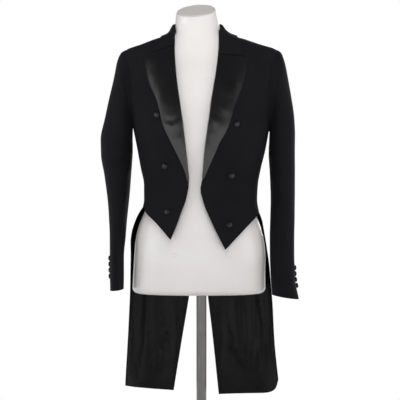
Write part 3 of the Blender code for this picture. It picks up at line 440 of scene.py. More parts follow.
def rollShift(side, z):
    # how far the wool stops short of the roll line, to leave the lapel and collar room to turn over it
    low = min(max((z - breakZ[side] + rollRelief["below"]) / rollRelief["over"], 0.0), 1.0)
    high = min(max((z - rollRelief["neckFrom"]) / rollRelief["over"], 0.0), 1.0)
    return rollRelief["atBreak"] * low + rollRelief["atNeck"] * high


def frontEdgeAt(side, z):
    return angleAt(side, one(frontEdge[side], z) + side * rollShift(side, z), z), z


def alongTable(table, z):
    return one(table, z), z


def shoulderRows(start, end):
    return [start + (end - start) * share for share in shoulderShares[1:]]


def shoulderSeam(side):
    return [(90.0, z) for z in shoulderRows(armhole(side, 0.0)[1], neckPointZ[side])]


def foreNet(side):
    bottomZ, underarmZ = frontEdge[side][0][0], armhole(side, 180.0)[1]
    sideSeam = [alongTable(underarmSeam, z) for z in spread(waistZ[side], underarmZ, 9)]
    last = sideSeam + [armhole(side, turn) for turn in spread(165.0, 0.0, 9)] + shoulderSeam(side)
    shoulderZ = armhole(side, 0.0)[1] - 0.012
    heights = spread(bottomZ, underarmZ, 9) + spread(underarmZ, shoulderZ, 10)[1:]
    heights += shoulderRows(shoulderZ, neckPointZ[side] - neckSeamDrop)
    first = [frontEdgeAt(side, z) for z in heights]
    start, end = spot(side, *first[0]), spot(side, *last[0])
    bottom = []
    for angle in spread(first[0][0], last[0][0], 9):
        z = bottomZ
        for _ in range(4):
            share = (spot(side, angle, z)[0] - start[0]) / (end[0] - start[0])
            z = bottomZ + (waistZ[side] - bottomZ) * min(max(share, 0.0), 1.0)
        bottom.append((angle, z))
    return seamNet(bottom, rowBetween(first[-1], last[-1], 9), first, last)


def backSeamAt(side, z):
    low = angleAt(side, one(pleatX[side], backWaistZ), backWaistZ, True)
    high, highZ = armhole(side, armholeBackTurn)
    v = (z - backWaistZ) / (highZ - backWaistZ)
    start, end = one(backSeam, backWaistZ), one(backSeam, highZ)
    return one(backSeam, z) + (low - start) * (1 - v) + (high - end) * v, z


def waistSeam(side, columns):
    return rowBetween(alongTable(underarmSeam, waistZ[side]), backSeamAt(side, backWaistZ), columns)


def sideNet(side):
    top = [armhole(side, turn) for turn in spread(180.0, 360.0 + armholeBackTurn, 7)]
    first = [alongTable(underarmSeam, z) for z in spread(waistZ[side], top[0][1], 9)]
    last = [backSeamAt(side, z) for z in spread(backWaistZ, top[-1][1], 9)]
    return seamNet(waistSeam(side, 7), top, first, last)


def stripEdges(side):
    pleatRows = spread(hem[side][-1][1], backWaistZ, tailRows)
    ventRows = spread(hemAtVent[side], backWaistZ, tailRows)
    pleat = [(angleAt(side, one(pleatX[side], z), z, True), z) for z in pleatRows]
    vent = [(angleAt(side, one(ventX[side], z), z, True), z) for z in ventRows]
    vent[-1] = (180.0, backWaistZ)
    return pleat, vent


def backNet(side):
    pleat, vent = stripEdges(side)
    seamTop, shoulderTop = armhole(side, armholeBackTurn)[1], armhole(side, 0.0)[1]
    seam = [backSeamAt(side, z) for z in spread(backWaistZ, seamTop, 9)][1:]
    hole = [armhole(side, turn) for turn in spread(armholeBackTurn, 0.0, 8)][1:]
    first = pleat + seam + hole + shoulderSeam(side)
    heights = spread(backWaistZ, seamTop, 9)[1:] + spread(seamTop, shoulderTop, 8)[1:]
    heights += shoulderRows(shoulderTop, backNeckZ)
    last = vent + [(180.0, z) for z in heights]
    return seamNet(rowBetween(first[0], last[0], 6), rowBetween(first[-1], last[-1], 6), first, last)


def skirtNet(side):
    first = [alongTable(skirtFront, z) for z in spread(hem[side][0][1], waistZ[side], tailRows)]
    last, top = stripEdges(side)[0], waistSeam(side, 7)
    first[-1], last[-1] = top[0], top[-1]
    angles = spread(first[0][0], last[0][0], 7)
    bottom = [(angle, one(hem[side], j / 6)) for j, angle in enumerate(angles)]
    return seamNet(bottom, top, first, last)


# folds: soft ridges and troughs laid along paths on the cloth

def pathDistance(points, path):
    # each point's distance from a path, and its share of the way along it
    path = np.asarray(path, float)
    lengths = np.linalg.norm(np.diff(path, axis=0), axis=1)
    total, best, share, gone = lengths.sum(), None, None, 0.0
    for start, step, length in zip(path[:-1], np.diff(path, axis=0), lengths):
        t = np.clip(((points - start) @ step) / length ** 2, 0, 1)
        away = np.linalg.norm(points - start - t[..., None] * step, axis=-1)
        along = (gone + t * length) / total
        if best is None:
            best, share = away, along
        else:
            nearer = away < best
            best, share = np.where(nearer, away, best), np.where(nearer, along, share)
        gone += length
    return best, share


def foldHeight(points, folds):
    height = np.zeros(points.shape[:-1])
    for k, (path, width, rise) in enumerate(folds):
        away, share = pathDistance(points, path)
        fade = np.sin(math.pi * np.clip(share, 0.02, 0.98)) ** 0.8
        uneven = 1 + 0.22 * np.sin(share * 9.0 + k * 2.4)
        height += rise * fade * uneven * np.exp(-(away / (width * (0.85 + 0.3 * share))) ** 2)
    return height


def onBody(side, places, back=False):
    # a fold's path from (x, z) places on the coat's front, or (angle, z) on its back
    return [spot(side, place if back else angleAt(side, place, z), z) for place, z in places]


def laidFolds(side, folds, back=False):
    return [(onBody(side, places, back), width, rise) for places, width, rise in folds]


# places, half width, rise: ridges are up, troughs down
frontFolds = {
    right: [
        ([(-0.168, 1.372), (-0.140, 1.318), (-0.118, 1.270)], 0.011, 0.0026),
        ([(-0.176, 1.352), (-0.152, 1.296), (-0.134, 1.236)], 0.010, -0.0014),
        ([(-0.150, 1.215), (-0.120, 1.190), (-0.096, 1.180)], 0.009, 0.0016),
        ([(-0.148, 1.150), (-0.112, 1.135), (-0.070, 1.142)], 0.010, 0.0018),
        ([(-0.146, 1.128), (-0.110, 1.112), (-0.064, 1.112)], 0.009, -0.0011),
        ([(-0.140, 1.098), (-0.108, 1.078), (-0.082, 1.040)], 0.010, 0.0016),
        ([(-0.148, 1.500), (-0.166, 1.460), (-0.176, 1.410)], 0.013, 0.0020),
    ],
    left: [
        ([(0.172, 1.362), (0.146, 1.312), (0.122, 1.262)], 0.011, 0.0024),
        ([(0.182, 1.344), (0.160, 1.286), (0.142, 1.226)], 0.010, -0.0014),
        ([(0.152, 1.192), (0.120, 1.172), (0.090, 1.160)], 0.009, 0.0016),
        ([(0.152, 1.138), (0.112, 1.120), (0.060, 1.128)], 0.010, 0.0018),
        ([(0.150, 1.112), (0.108, 1.096), (0.052, 1.094)], 0.009, -0.0011),
        ([(0.140, 1.080), (0.106, 1.056), (0.074, 1.012)], 0.010, 0.0016),
        ([(0.150, 1.496), (0.170, 1.456), (0.180, 1.404)], 0.013, 0.0020),
    ],
}
backFolds = {
    right: [
        ([(104, 1.150), (118, 1.140), (134, 1.150)], 0.010, 0.0018),
        ([(102, 1.118), (120, 1.106), (140, 1.112)], 0.009, 0.0014),
        ([(118, 1.452), (134, 1.420), (150, 1.405)], 0.014, 0.0022),
        ([(116, 1.405), (130, 1.360), (142, 1.300)], 0.012, 0.0020),
        ([(112, 1.370), (124, 1.320), (132, 1.250)], 0.010, -0.0012),
        ([(112, 0.980), (117, 0.860), (115, 0.660)], 0.013, 0.0030),
        ([(124, 1.000), (128, 0.850), (126, 0.600)], 0.014, -0.0022),
        ([(134, 1.010), (137, 0.860), (138, 0.620)], 0.012, 0.0026),
        ([(154, 0.900), (153, 0.780), (155, 0.600)], 0.011, 0.0018),
    ],
    left: [
        ([(103, 1.146), (118, 1.134), (136, 1.142)], 0.010, 0.0018),
        ([(100, 1.110), (121, 1.100), (142, 1.104)], 0.009, 0.0014),
        ([(117, 1.448), (135, 1.424), (152, 1.400)], 0.014, 0.0022),
        ([(115, 1.398), (131, 1.352), (144, 1.296)], 0.012, 0.0020),
        ([(113, 1.362), (123, 1.312), (131, 1.244)], 0.010, -0.0012),
        ([(113, 0.970), (116, 0.850), (114, 0.640)], 0.013, 0.0030),
        ([(123, 0.990), (127, 0.840), (128, 0.590)], 0.014, -0.0022),
        ([(135, 1.000), (138, 0.850), (137, 0.610)], 0.012, 0.0026),
        ([(153, 0.890), (155, 0.770), (153, 0.590)], 0.011, 0.0018),
    ],
}
bodyFolds = {side: laidFolds(side, frontFolds[side]) + laidFolds(side, backFolds[side], True) for side in sides}


# making a piece of cloth

pressWidth = 0.0017  # how far beside a seam its pressing flattens the cloth


def gridNormals(grid, sign):
    return unit(np.cross(np.gradient(grid, axis=1), np.gradient(grid, axis=0))) * sign


def newPiece(name, points, faces):
    mesh = bpy.data.meshes.new(name)
    mesh.from_pydata(points, [], faces)
    mesh.shade_smooth()
    piece = bpy.data.objects.new(name, mesh)
    bpy.context.scene.collection.objects.link(piece)
    return piece


def rimLine(grid, walls, bulge):
    # the middle line of the cloth's rim, rounded outward
    rows, columns = grid.shape[:2]
    loop = [(0, j) for j in range(columns)] + [(i, columns - 1) for i in range(1, rows)]
    loop += [(rows - 1, j) for j in range(columns - 2, -1, -1)] + [(i, 0) for i in range(rows - 2, 0, -1)]
    line = []
    for i, j in loop:
        inner = grid[min(max(i, 1), rows - 2), min(max(j, 1), columns - 2)]
        away = unit(grid[i, j] - inner)
        line.append((grid[i, j] + walls[i, j]) / 2 + away * bulge)
    return loop, line


def sewCloth(name, grid, normals, wall, sewn=(), bulge=0.0004, flip=False, drop=0.35):
    # grid holds the inside, sewn the edges whose seams are pressed flat: bottom, top, first, last
    press = np.zeros(grid.shape[:2])
    for edge in sewn:
        axis = 0 if edge in ("bottom", "top") else 1
        steps = np.linalg.norm(np.diff(grid, axis=axis), axis=-1)
        zero = np.zeros_like(np.take(steps, [0], axis=axis))
        reach = np.concatenate([zero, np.cumsum(steps, axis=axis)], axis=axis)
        if edge in ("top", "last"):
            reach = np.take(reach, [-1], axis=axis) - reach
        press = np.maximum(press, np.exp(-(reach / pressWidth) ** 2))
    outside = grid + normals * (wall * (1 - drop * press))[..., None]
    rows, columns = grid.shape[:2]
    loop, line = rimLine(grid, outside, bulge)
    points = np.vstack([grid.reshape(-1, 3), outside.reshape(-1, 3), np.array(line)])
    points[:, 0] += formX
    count = rows * columns
    faces = []
    for i in range(rows - 1):
        for j in range(columns - 1):
            a, b = i * columns + j, (i + 1) * columns + j
            faces.append((a, b, b + 1, a + 1))
            faces.append((count + a, count + a + 1, count + b + 1, count + b))
    for k, (i, j) in enumerate(loop):
        m = (k + 1) % len(loop)
        a, b = i * columns + j, loop[m][0] * columns + loop[m][1]
        faces.append((a, b, 2 * count + m, 2 * count + k))
        faces.append((2 * count + k, 2 * count + m, count + b, count + a))
    if flip:
        faces = [face[::-1] for face in faces]
    return newPiece(name, points.tolist(), faces)


def drawnIn(grid, gaps):
    # pulls the bottom, top, first and last edges in by their gaps
    drawn = grid.copy()
    bottom, top, first, last = gaps
    drawn[0] += unit(grid[1] - grid[0]) * bottom
    drawn[-1] += unit(grid[-2] - grid[-1]) * top
    drawn[:, 0] += unit(grid[:, 1] - grid[:, 0]) * first
    drawn[:, -1] += unit(grid[:, -2] - grid[:, -1]) * last
    return drawn


def finish(piece, node, stuff):
    piece.data.materials.append(stuff)
    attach(piece, "root")
    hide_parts(node)


# the wool panels of the body

bodyCloth = {
    "wall": 0.0018, "halfGap": 0.0001, "rimGap": 0.0004, "soft": 0.0005, "softSize": 0.055,
    "deepest": -0.0016,  # a trough stops here, clear of what is under it
}
allEdges = ("bottom", "top", "first", "last")


def bodyGrid(side, net, rowAt, columnAt, corner=None):
    # corner is a row where the edges turn sharply, so the smooth curves stop and start again there
    if corner is None:
        fine = between(net, rowAt, columnAt)
    else:
        low, high = [r for r in rowAt if r <= corner], [r - corner for r in rowAt if r > corner]
        fine = np.concatenate([between(net[:corner + 1], low, columnAt), between(net[corner:], high, columnAt)])
    angle, z = fine[..., 0], fine[..., 1]
    grid, normals = bodyPoint(coatSections, side, angle, z), bodyNormal(side, angle, z)
    height = foldHeight(grid, bodyFolds[side]) + bodyCloth["soft"] * noiseAt(grid, bodyCloth["softSize"], 1)
    return grid + normals * np.maximum(height, bodyCloth["deepest"])[..., None], normals


def bodyPanel(kind, node, side, net, size, counts, sewn, corner=None):
    width, length = size
    rowAt = edgeSpaced(len(net) - 1, counts[0], length)
    columnAt = edgeSpaced(len(net[0]) - 1, counts[1], width)
    if corner is not None:
        rowAt = sorted(set(rowAt) | {corner - 0.06, corner, corner + 0.06})
    grid, normals = bodyGrid(side, net, rowAt, columnAt, corner)
    grid = drawnIn(grid, [bodyCloth["halfGap" if edge in sewn else "rimGap"] for edge in allEdges])
    piece = sewCloth(f"{kind}{word[side]}", grid, normals, bodyCloth["wall"], sewn, flip=side == right)
    finish(piece, f"{node}_{nodeWord[side]}", blackWool)


for side in sides:
    # each panel's rough width and length, its counts of rows and columns, and its sewn edges
    bodyPanel("fore", "forepart", side, foreNet(side), (0.215, 0.60), (64, 34), ("top", "last"))
    bodyPanel("sideBody", "sidebody", side, sideNet(side), (0.17, 0.28), (34, 24), allEdges)
    bodyPanel("back", "back", side, backNet(side), (0.15, 1.04), (96, 26), ("top", "first", "last"), tailRows - 1)
    bodyPanel("skirt", "skirt", side, skirtNet(side), (0.20, 0.52), (56, 30), ("top", "last"))
print("body panels sewn")


# the tails' satin linings, just inside the skirt and the back's strip

tailLining = {"wall": 0.0010, "inset": 0.010, "clear": 0.0003, "soft": 0.0006, "softSize": 0.045, "calmRows": 5.0}
liningFolds = {
    # places are (x, z) on the lining as it faces forward, troughs run into the wool
    right: [
        ([(-0.128, 0.760), (-0.130, 0.690), (-0.124, 0.610)], 0.008, 0.0020),
        ([(-0.103, 0.790), (-0.108, 0.730), (-0.112, 0.665)], 0.007, 0.0022),
        ([(-0.122, 0.735), (-0.100, 0.705), (-0.094, 0.660)], 0.006, 0.0020),
        ([(-0.170, 0.690), (-0.185, 0.640), (-0.176, 0.580)], 0.009, 0.0022),
        ([(-0.076, 0.800), (-0.070, 0.700), (-0.078, 0.600)], 0.008, 0.0018),
        ([(-0.150, 0.722), (-0.141, 0.730), (-0.132, 0.727)], 0.004, 0.0022),
        ([(-0.108, 0.696), (-0.100, 0.703), (-0.091, 0.698)], 0.004, 0.0026),
        ([(-0.125, 0.650), (-0.118, 0.655), (-0.111, 0.648)], 0.004, 0.0024),
    ],
    left: [
        ([(0.085, 0.745), (0.104, 0.700), (0.108, 0.640)], 0.007, 0.0022),
        ([(0.112, 0.735), (0.120, 0.680), (0.114, 0.610)], 0.006, 0.0020),
        ([(0.134, 0.810), (0.138, 0.720), (0.134, 0.600)], 0.006, 0.0024),
        ([(0.158, 0.800), (0.166, 0.700), (0.160, 0.590)], 0.007, 0.0024),
        ([(0.182, 0.790), (0.188, 0.690), (0.184, 0.600)], 0.007, 0.0020),
        ([(0.060, 0.780), (0.066, 0.690), (0.058, 0.610)], 0.008, 0.0018),
        ([(0.086, 0.674), (0.096, 0.676), (0.107, 0.671)], 0.004, 0.0028),
        ([(0.104, 0.636), (0.116, 0.640), (0.128, 0.647)], 0.004, 0.0026),
        ([(0.168, 0.604), (0.175, 0.601), (0.182, 0.603)], 0.004, 0.0022),
    ],
}


def onLining(side, places):
    return onBody(side, [(angleAt(side, x, z, True), z) for x, z in places], True)


def calmTowardsEdges(count):
    steps = np.arange(count)
    return np.clip(np.minimum(steps, steps[::-1]) / tailLining["calmRows"], 0, 1)


def tailLiningPiece(side):
    skirtPart, strip = skirtNet(side), backNet(side)[:tailRows]
    net = np.concatenate([skirtPart, strip[:, 1:]], axis=1)
    rows, columns = len(net), len(net[0])
    grid, normals = bodyGrid(side, net, edgeSpaced(rows - 1, 60, 0.52), edgeSpaced(columns - 1, 46, 0.26))
    grid = drawnIn(grid, [tailLining["inset"]] * 4)
    folds = [(onLining(side, places), width, rise) for places, width, rise in liningFolds[side]]
    puff = foldHeight(grid, folds) + tailLining["soft"] * (1 + noiseAt(grid, tailLining["softSize"], 7))
    edge = calmTowardsEdges(grid.shape[0])[:, None] * calmTowardsEdges(grid.shape[1])[None, :]
    away = tailLining["wall"] + tailLining["clear"] + np.clip(puff, 0, None) * edge
    grid = grid - normals * away[..., None]
    piece = sewCloth(f"tailLining{word[side]}", grid, normals, tailLining["wall"], (), 0.0003, flip=side == right)
    finish(piece, f"tail_lining_{nodeWord[side]}", tailSatin)


for side in sides:
    tailLiningPiece(side)
print("tails lined")


# lapels

lapelEdge = {
    right: [
        (1.151, -0.0335), (1.176, -0.0400), (1.215, -0.0570), (1.262, -0.0800), (1.303, -0.0985),
        (1.369, -0.1150), (1.4215, -0.1370), (1.478, -0.1480),
    ],
    left: [
        (1.159, 0.0110), (1.190, 0.0240), (1.2215, 0.0380), (1.254, 0.0520), (1.294, 0.0740),
        (1.359, 0.0930), (1.395, 0.1080), (1.454, 0.1240), (1.476, 0.1285),
    ],
}
peak = {right: (1.494, -0.1490), left: (1.489, 0.1290)}
gorgeRollZ = {right: 1.522, left: 1.496}
lapel = {
    "wall": 0.0015, "lift": 0.0005, "rows": 15, "springRows": 4, "leastWidth": 0.0032, "leastStep": 0.0006,
    "deepest": -0.0012, "pucker": 0.00018, "puckerSize": 0.018, "bulge": 0.0006,
    "wrap": [(0.0018, 0.0008), (0.0020, 0.0023)],  # inset from the roll line, height off the coat's inside
    # share of the width, height
    "rise": [(0.06, 0.0030), (0.25, 0.0042), (0.55, 0.0040), (0.82, 0.0030), (1.0, 0.0024)],
}
lapelFolds = {
    right: [
        ([(-0.052, 1.326), (-0.074, 1.313), (-0.096, 1.316)], 0.0060, -0.0013),
        ([(-0.056, 1.302), (-0.078, 1.298), (-0.092, 1.306)], 0.0055, 0.0012),
        ([(-0.046, 1.272), (-0.062, 1.262), (-0.078, 1.262)], 0.0080, 0.0008),
        ([(-0.040, 1.240), (-0.050, 1.222), (-0.056, 1.214)], 0.0070, -0.0007),
        ([(-0.110, 1.420), (-0.104, 1.380), (-0.098, 1.340)], 0.0120, 0.0009),
    ],
    left: [
        ([(0.034, 1.384), (0.056, 1.378), (0.086, 1.366)], 0.0065, -0.0013),
        ([(0.040, 1.366), (0.060, 1.350), (0.078, 1.330)], 0.0070, 0.0011),
        ([(0.028, 1.336), (0.046, 1.306), (0.064, 1.286)], 0.0090, 0.0009),
        ([(0.022, 1.272), (0.034, 1.250), (0.046, 1.240)], 0.0080, -0.0008),
        ([(0.098, 1.436), (0.090, 1.400), (0.082, 1.372)], 0.0120, 0.0008),
    ],
}


def lapelPiece(side):
    edge = lapelEdge[side] + [peak[side]]
    start = lapelEdge[side][0][0]
    flat = bodyCloth["wall"] + lapel["lift"]
    coarse = []
    rows = rowBetween((start, start), (gorgeRollZ[side], peak[side][0]), lapel["rows"])
    for i, (rollZ, edgeZ) in enumerate(rows):
        rollX, edgeX = one(frontEdge[side], rollZ), one(edge, edgeZ)
        grow = min(1.0, i / lapel["springRows"])
        row = []
        for inset, out in lapel["wrap"]:
            row.append(spot(side, angleAt(side, rollX + side * inset, rollZ), rollZ, out if i else flat))
        for share, rise in lapel["rise"]:
            x = rollX + side * max(share * abs(edgeX - rollX), lapel["leastWidth"] + lapel["leastStep"] * share)
            z = rollZ + (edgeZ - rollZ) * share
            row.append(spot(side, angleAt(side, x, z), z, flat + (rise - flat) * grow))
        coarse.append(row)
    columnAt = [0, 0.35, 0.7, 1, 1.12, 1.25, 1.4, 1.6, 1.8] + spread(2, 5.8, 26) + [5.9, 5.96, 5.985, 6]
    grid = between(coarse, edgeSpaced(lapel["rows"] - 1, 66, 0.36), columnAt)
    normals = gridNormals(grid, side)
    # the satin follows the wool under it and has small puckers of its own
    under = np.maximum(foldHeight(grid, bodyFolds[side]), bodyCloth["deepest"])
    under = under + bodyCloth["soft"] * noiseAt(grid, bodyCloth["softSize"], 1)
    own = np.maximum(foldHeight(grid, laidFolds(side, lapelFolds[side])), lapel["deepest"])
    height = under + own + lapel["pucker"] * noiseAt(grid, lapel["puckerSize"], 4) + lapel["lift"]
    grid = grid + normals * height[..., None]
    piece = sewCloth(f"lapel{word[side]}", grid, normals, lapel["wall"], ("top",), lapel["bulge"], side == right, 0.25)
    finish(piece, f"lapel_{nodeWord[side]}", blackSatin)


for side in sides:
    lapelPiece(side)
print("lapels faced in satin")


# collar: stand and fall in one piece

collarLeaf = {
    right: [
        (0.0, 1.5230, 1.5020, -0.1290), (0.35, 1.5350, 1.5160, -0.1250), (0.7, 1.5470, 1.5305, -0.1180),
        (1.0, 1.5592, 1.5415, -0.1110),
    ],
    left: [
        (0.0, 1.4970, 1.4925, 0.1150), (0.35, 1.5200, 1.5130, 0.1130), (0.7, 1.5430, 1.5305, 0.1090),
        (1.0, 1.5642, 1.5405, 0.1045),
    ],
}
collarRing = [
    (50.0, 1.5680, 1.5465), (66.0, 1.5760, 1.5505), (78.0, 1.5830, 1.5530), (90.0, 1.5890, 1.5550),
    (120.0, 1.5965, 1.5555), (150.0, 1.6010, 1.5560), (180.0, 1.6020, 1.5560),
]
formSections = [
    # z, right, left, front, back, middle
    (0.856, -0.1885, 0.1830, -0.118, 0.121, -0.003),
    (0.900, -0.1865, 0.1825, -0.121, 0.123, -0.002),
    (0.940, -0.1840, 0.1830, -0.122, 0.122, -0.001),
    (0.980, -0.1815, 0.1800, -0.121, 0.118, -0.001),
    (1.010, -0.1765, 0.1735, -0.118, 0.112, -0.002),
    (1.040, -0.1670, 0.1650, -0.114, 0.105, -0.002),
    (1.070, -0.1545, 0.1550, -0.110, 0.098, -0.003),
    (1.100, -0.1485, 0.1510, -0.107, 0.094, -0.003),
    (1.140, -0.1480, 0.1520, -0.107, 0.093, -0.004),
    (1.200, -0.1570, 0.1620, -0.112, 0.097, -0.006),
    (1.270, -0.1680, 0.1740, -0.119, 0.104, -0.008),
    (1.340, -0.1760, 0.1790, -0.119, 0.110, -0.009),
    (1.400, -0.1800, 0.1820, -0.111, 0.111, -0.010),
    (1.450, -0.1800, 0.1830, -0.099, 0.105, -0.010),
    (1.490, -0.1740, 0.1800, -0.086, 0.095, -0.010),
    (1.508, -0.1660, 0.1720, -0.078, 0.089, -0.010),
    (1.522, -0.1480, 0.1540, -0.071, 0.084, -0.010),
    (1.534, -0.1270, 0.1300, -0.066, 0.079, -0.010),
    (1.546, -0.1040, 0.1020, -0.061, 0.074, -0.010),
    (1.558, -0.0830, 0.0730, -0.057, 0.070, -0.009),
    (1.570, -0.0715, 0.0600, -0.053, 0.0665, -0.008),
    (1.584, -0.0690, 0.0560, -0.051, 0.0640, -0.007),
    (1.606, -0.0683, 0.0510, -0.051, 0.0620, -0.008),
]
collar = {
    "wall": 0.0016, "offNeck": 0.0040, "overSeam": 0.0052, "offShoulder": 0.0044, "seamLift": 0.0008,
    "seamOut": 0.0001, "foldWidth": 0.0022, "foldDrop": 0.0014, "belly": 0.0006, "lift": 0.0003, "soft": 0.0003,
    "softSize": 0.040,
    "leafShares": (0.0, 0.3, 0.6, 0.85),
    "neckAngles": (66.0, 78.0, 90.0, 104.0, 119.0, 134.0, 149.0, 165.0, 180.0),
    "cornerClear": (0.0036, 0.0032, 0.0020),
    "wrap": [(0.0011, 0.0006), (0.0012, 0.0014), (0.0015, 0.0026)],
    "rise": [(0.08, 0.0046), (0.30, 0.0054), (0.55, 0.0056), (0.80, 0.0052), (1.0, 0.0042)],
}


def leafRow(side, share):
    rollZ, edgeZ, edgeX = curveThrough(collarLeaf[side], share)
    rollX = one(frontEdge[side], rollZ)
    row = [spot(side, angleAt(side, rollX + side * inset, rollZ), rollZ, out) for inset, out in collar["wrap"]]
    for part, out in collar["rise"]:
        x, z = rollX + (edgeX - rollX) * part, rollZ + (edgeZ - rollZ) * part
        row.append(spot(side, angleAt(side, x, z), z, out))
    return row


def neckSeamZ(side, angle):
    cornerZ = neckPointZ[side] - neckSeamDrop
    corner = frontEdgeAt(side, cornerZ)[0]
    if angle < 90.0:
        return cornerZ + neckSeamDrop * (angle - corner) / (90.0 - corner)
    return neckPointZ[side] + (backNeckZ - neckPointZ[side]) * (angle - 90.0) / 90.0


def neckRow(side, angle):
    foldZ, fallZ = curveThrough(collarRing, angle)
    seamZ = neckSeamZ(side, angle)
    seam = spot(side, angle, seamZ + collar["seamLift"], collar["seamOut"])
    over = spot(side, angle, seamZ, collar["overSeam"])
    fall = spot(side, angle, fallZ, collar["offShoulder"])
    outward = unit(np.array([fall[0] - seam[0], fall[1] - seam[1], 0.0]))
    fold = bodyPoint(formSections, side, angle, foldZ) + outward * collar["offNeck"]
    underFold = fold - np.array([0.0, 0.0, collar["foldDrop"]])
    turnedOver = fold + outward * collar["foldWidth"]
    halfway = (turnedOver + over) / 2 + outward * collar["belly"]
    middle = spot(side, angle, (seamZ + fallZ) / 2, collar["overSeam"] + collar["belly"])
    return [seam, (seam + fold) / 2, underFold, turnedOver, halfway, over, middle, fall]


def cornerRow(side, rows):
    a, b, c, d = [np.array(row) for row in rows]
    row = (9 * (b + c) - a - d) / 16
    for j, inset in enumerate(collar["cornerClear"]):
        row[j, 0] -= side * inset
    return row


def collarPiece():
    coarse = []
    for side in sides:
        half = [leafRow(side, share) for share in collar["leafShares"]]
        roundNeck = [neckRow(side, angle) for angle in collar["neckAngles"]]
        half.append(cornerRow(side, half[-2:] + roundNeck[:2]))
        half += roundNeck
        coarse += half if side == right else half[::-1][1:]
    columnAt = [0, 0.5, 1, 1.5, 2, 2.35, 2.7, 3, 3.3, 3.65, 4, 4.35, 4.7, 5, 5.35, 5.7, 6, 6.35, 6.7, 6.88, 6.96, 7]
    grid = between(coarse, edgeSpaced(len(coarse) - 1, 130, 0.52), columnAt)
    normals = gridNormals(grid, -1)
    height = collar["lift"] + collar["soft"] * noiseAt(grid, collar["softSize"], 3)
    grid = grid + normals * height[..., None]
    piece = sewCloth("collarCloth", grid, normals, collar["wall"], (), 0.0005, flip=True)
    finish(piece, "collar", blackWool)


collarPiece()
print("collar set on")


# sleeves

# rings down each sleeve: x and z of the inner side, x and z of the outer side, y of the middle, half the depth
sleeveRings = {
    right: [
        (0.1890, 1.2995, 0.2185, 1.5135, 0.002, 0.0650),
        (0.1895, 1.2940, 0.2275, 1.4975, 0.002, 0.0665),
        (0.1895, 1.2870, 0.2340, 1.4700, 0.003, 0.0675),
        (0.1895, 1.2780, 0.2430, 1.4300, 0.004, 0.0680),
        (0.1895, 1.2660, 0.2545, 1.3830, 0.006, 0.0685),
        (0.1890, 1.2500, 0.2670, 1.3280, 0.008, 0.0690),
        (0.1890, 1.2290, 0.2790, 1.2700, 0.010, 0.0685),
        (0.1905, 1.2020, 0.2780, 1.2260, 0.011, 0.0680),
        (0.1940, 1.1600, 0.2680, 1.1700, 0.011, 0.0668),
        (0.1985, 1.1080, 0.2605, 1.1120, 0.009, 0.0650),
        (0.2035, 1.0540, 0.2550, 1.0540, 0.004, 0.0635),
        (0.2075, 1.0000, 0.2520, 1.0000, -0.004, 0.0610),
        (0.2120, 0.9450, 0.2515, 0.9450, -0.014, 0.0585),
        (0.2115, 0.8950, 0.2500, 0.8950, -0.024, 0.0565),
        (0.2115, 0.8540, 0.2490, 0.8500, -0.031, 0.0550),
    ],
    left: [
        (0.1960, 1.2905, 0.2245, 1.5140, 0.002, 0.0650),
        (0.1960, 1.2850, 0.2325, 1.4970, 0.002, 0.0665),
        (0.1955, 1.2780, 0.2395, 1.4710, 0.003, 0.0675),
        (0.1950, 1.2700, 0.2470, 1.4340, 0.004, 0.0680),
        (0.1945, 1.2600, 0.2555, 1.3880, 0.006, 0.0685),
        (0.1935, 1.2460, 0.2630, 1.3350, 0.008, 0.0690),
        (0.1930, 1.2260, 0.2665, 1.2750, 0.010, 0.0690),
        (0.1945, 1.1980, 0.2665, 1.2200, 0.011, 0.0680),
        (0.1970, 1.1550, 0.2665, 1.1650, 0.011, 0.0665),
        (0.1985, 1.1050, 0.2660, 1.1090, 0.009, 0.0645),
        (0.1970, 1.0520, 0.2650, 1.0520, 0.004, 0.0620),
        (0.1955, 0.9980, 0.2635, 0.9980, -0.004, 0.0590),
        (0.1950, 0.9430, 0.2625, 0.9430, -0.014, 0.0560),
        (0.1970, 0.8880, 0.2640, 0.8830, -0.024, 0.0530),
        (0.2000, 0.8380, 0.2745, 0.8260, -0.032, 0.0510),
    ],
}
hindSeam = [(0, -74.0), (8, -58.0), (15, -36.0)]
sleeve = {
    "wall": 0.0015, "setIn": 0.0009, "setUnder": 0.0024, "frontSeamTurn": 128.0, "turnedUnder": 0.0030,
    "turnedDown": 0.0026, "soft": 0.0007, "softSize": 0.060, "ventLap": 0.0009, "ventRing": 11.5, "ventWidth": 0.014,
    "seamGap": 0.0002,
}
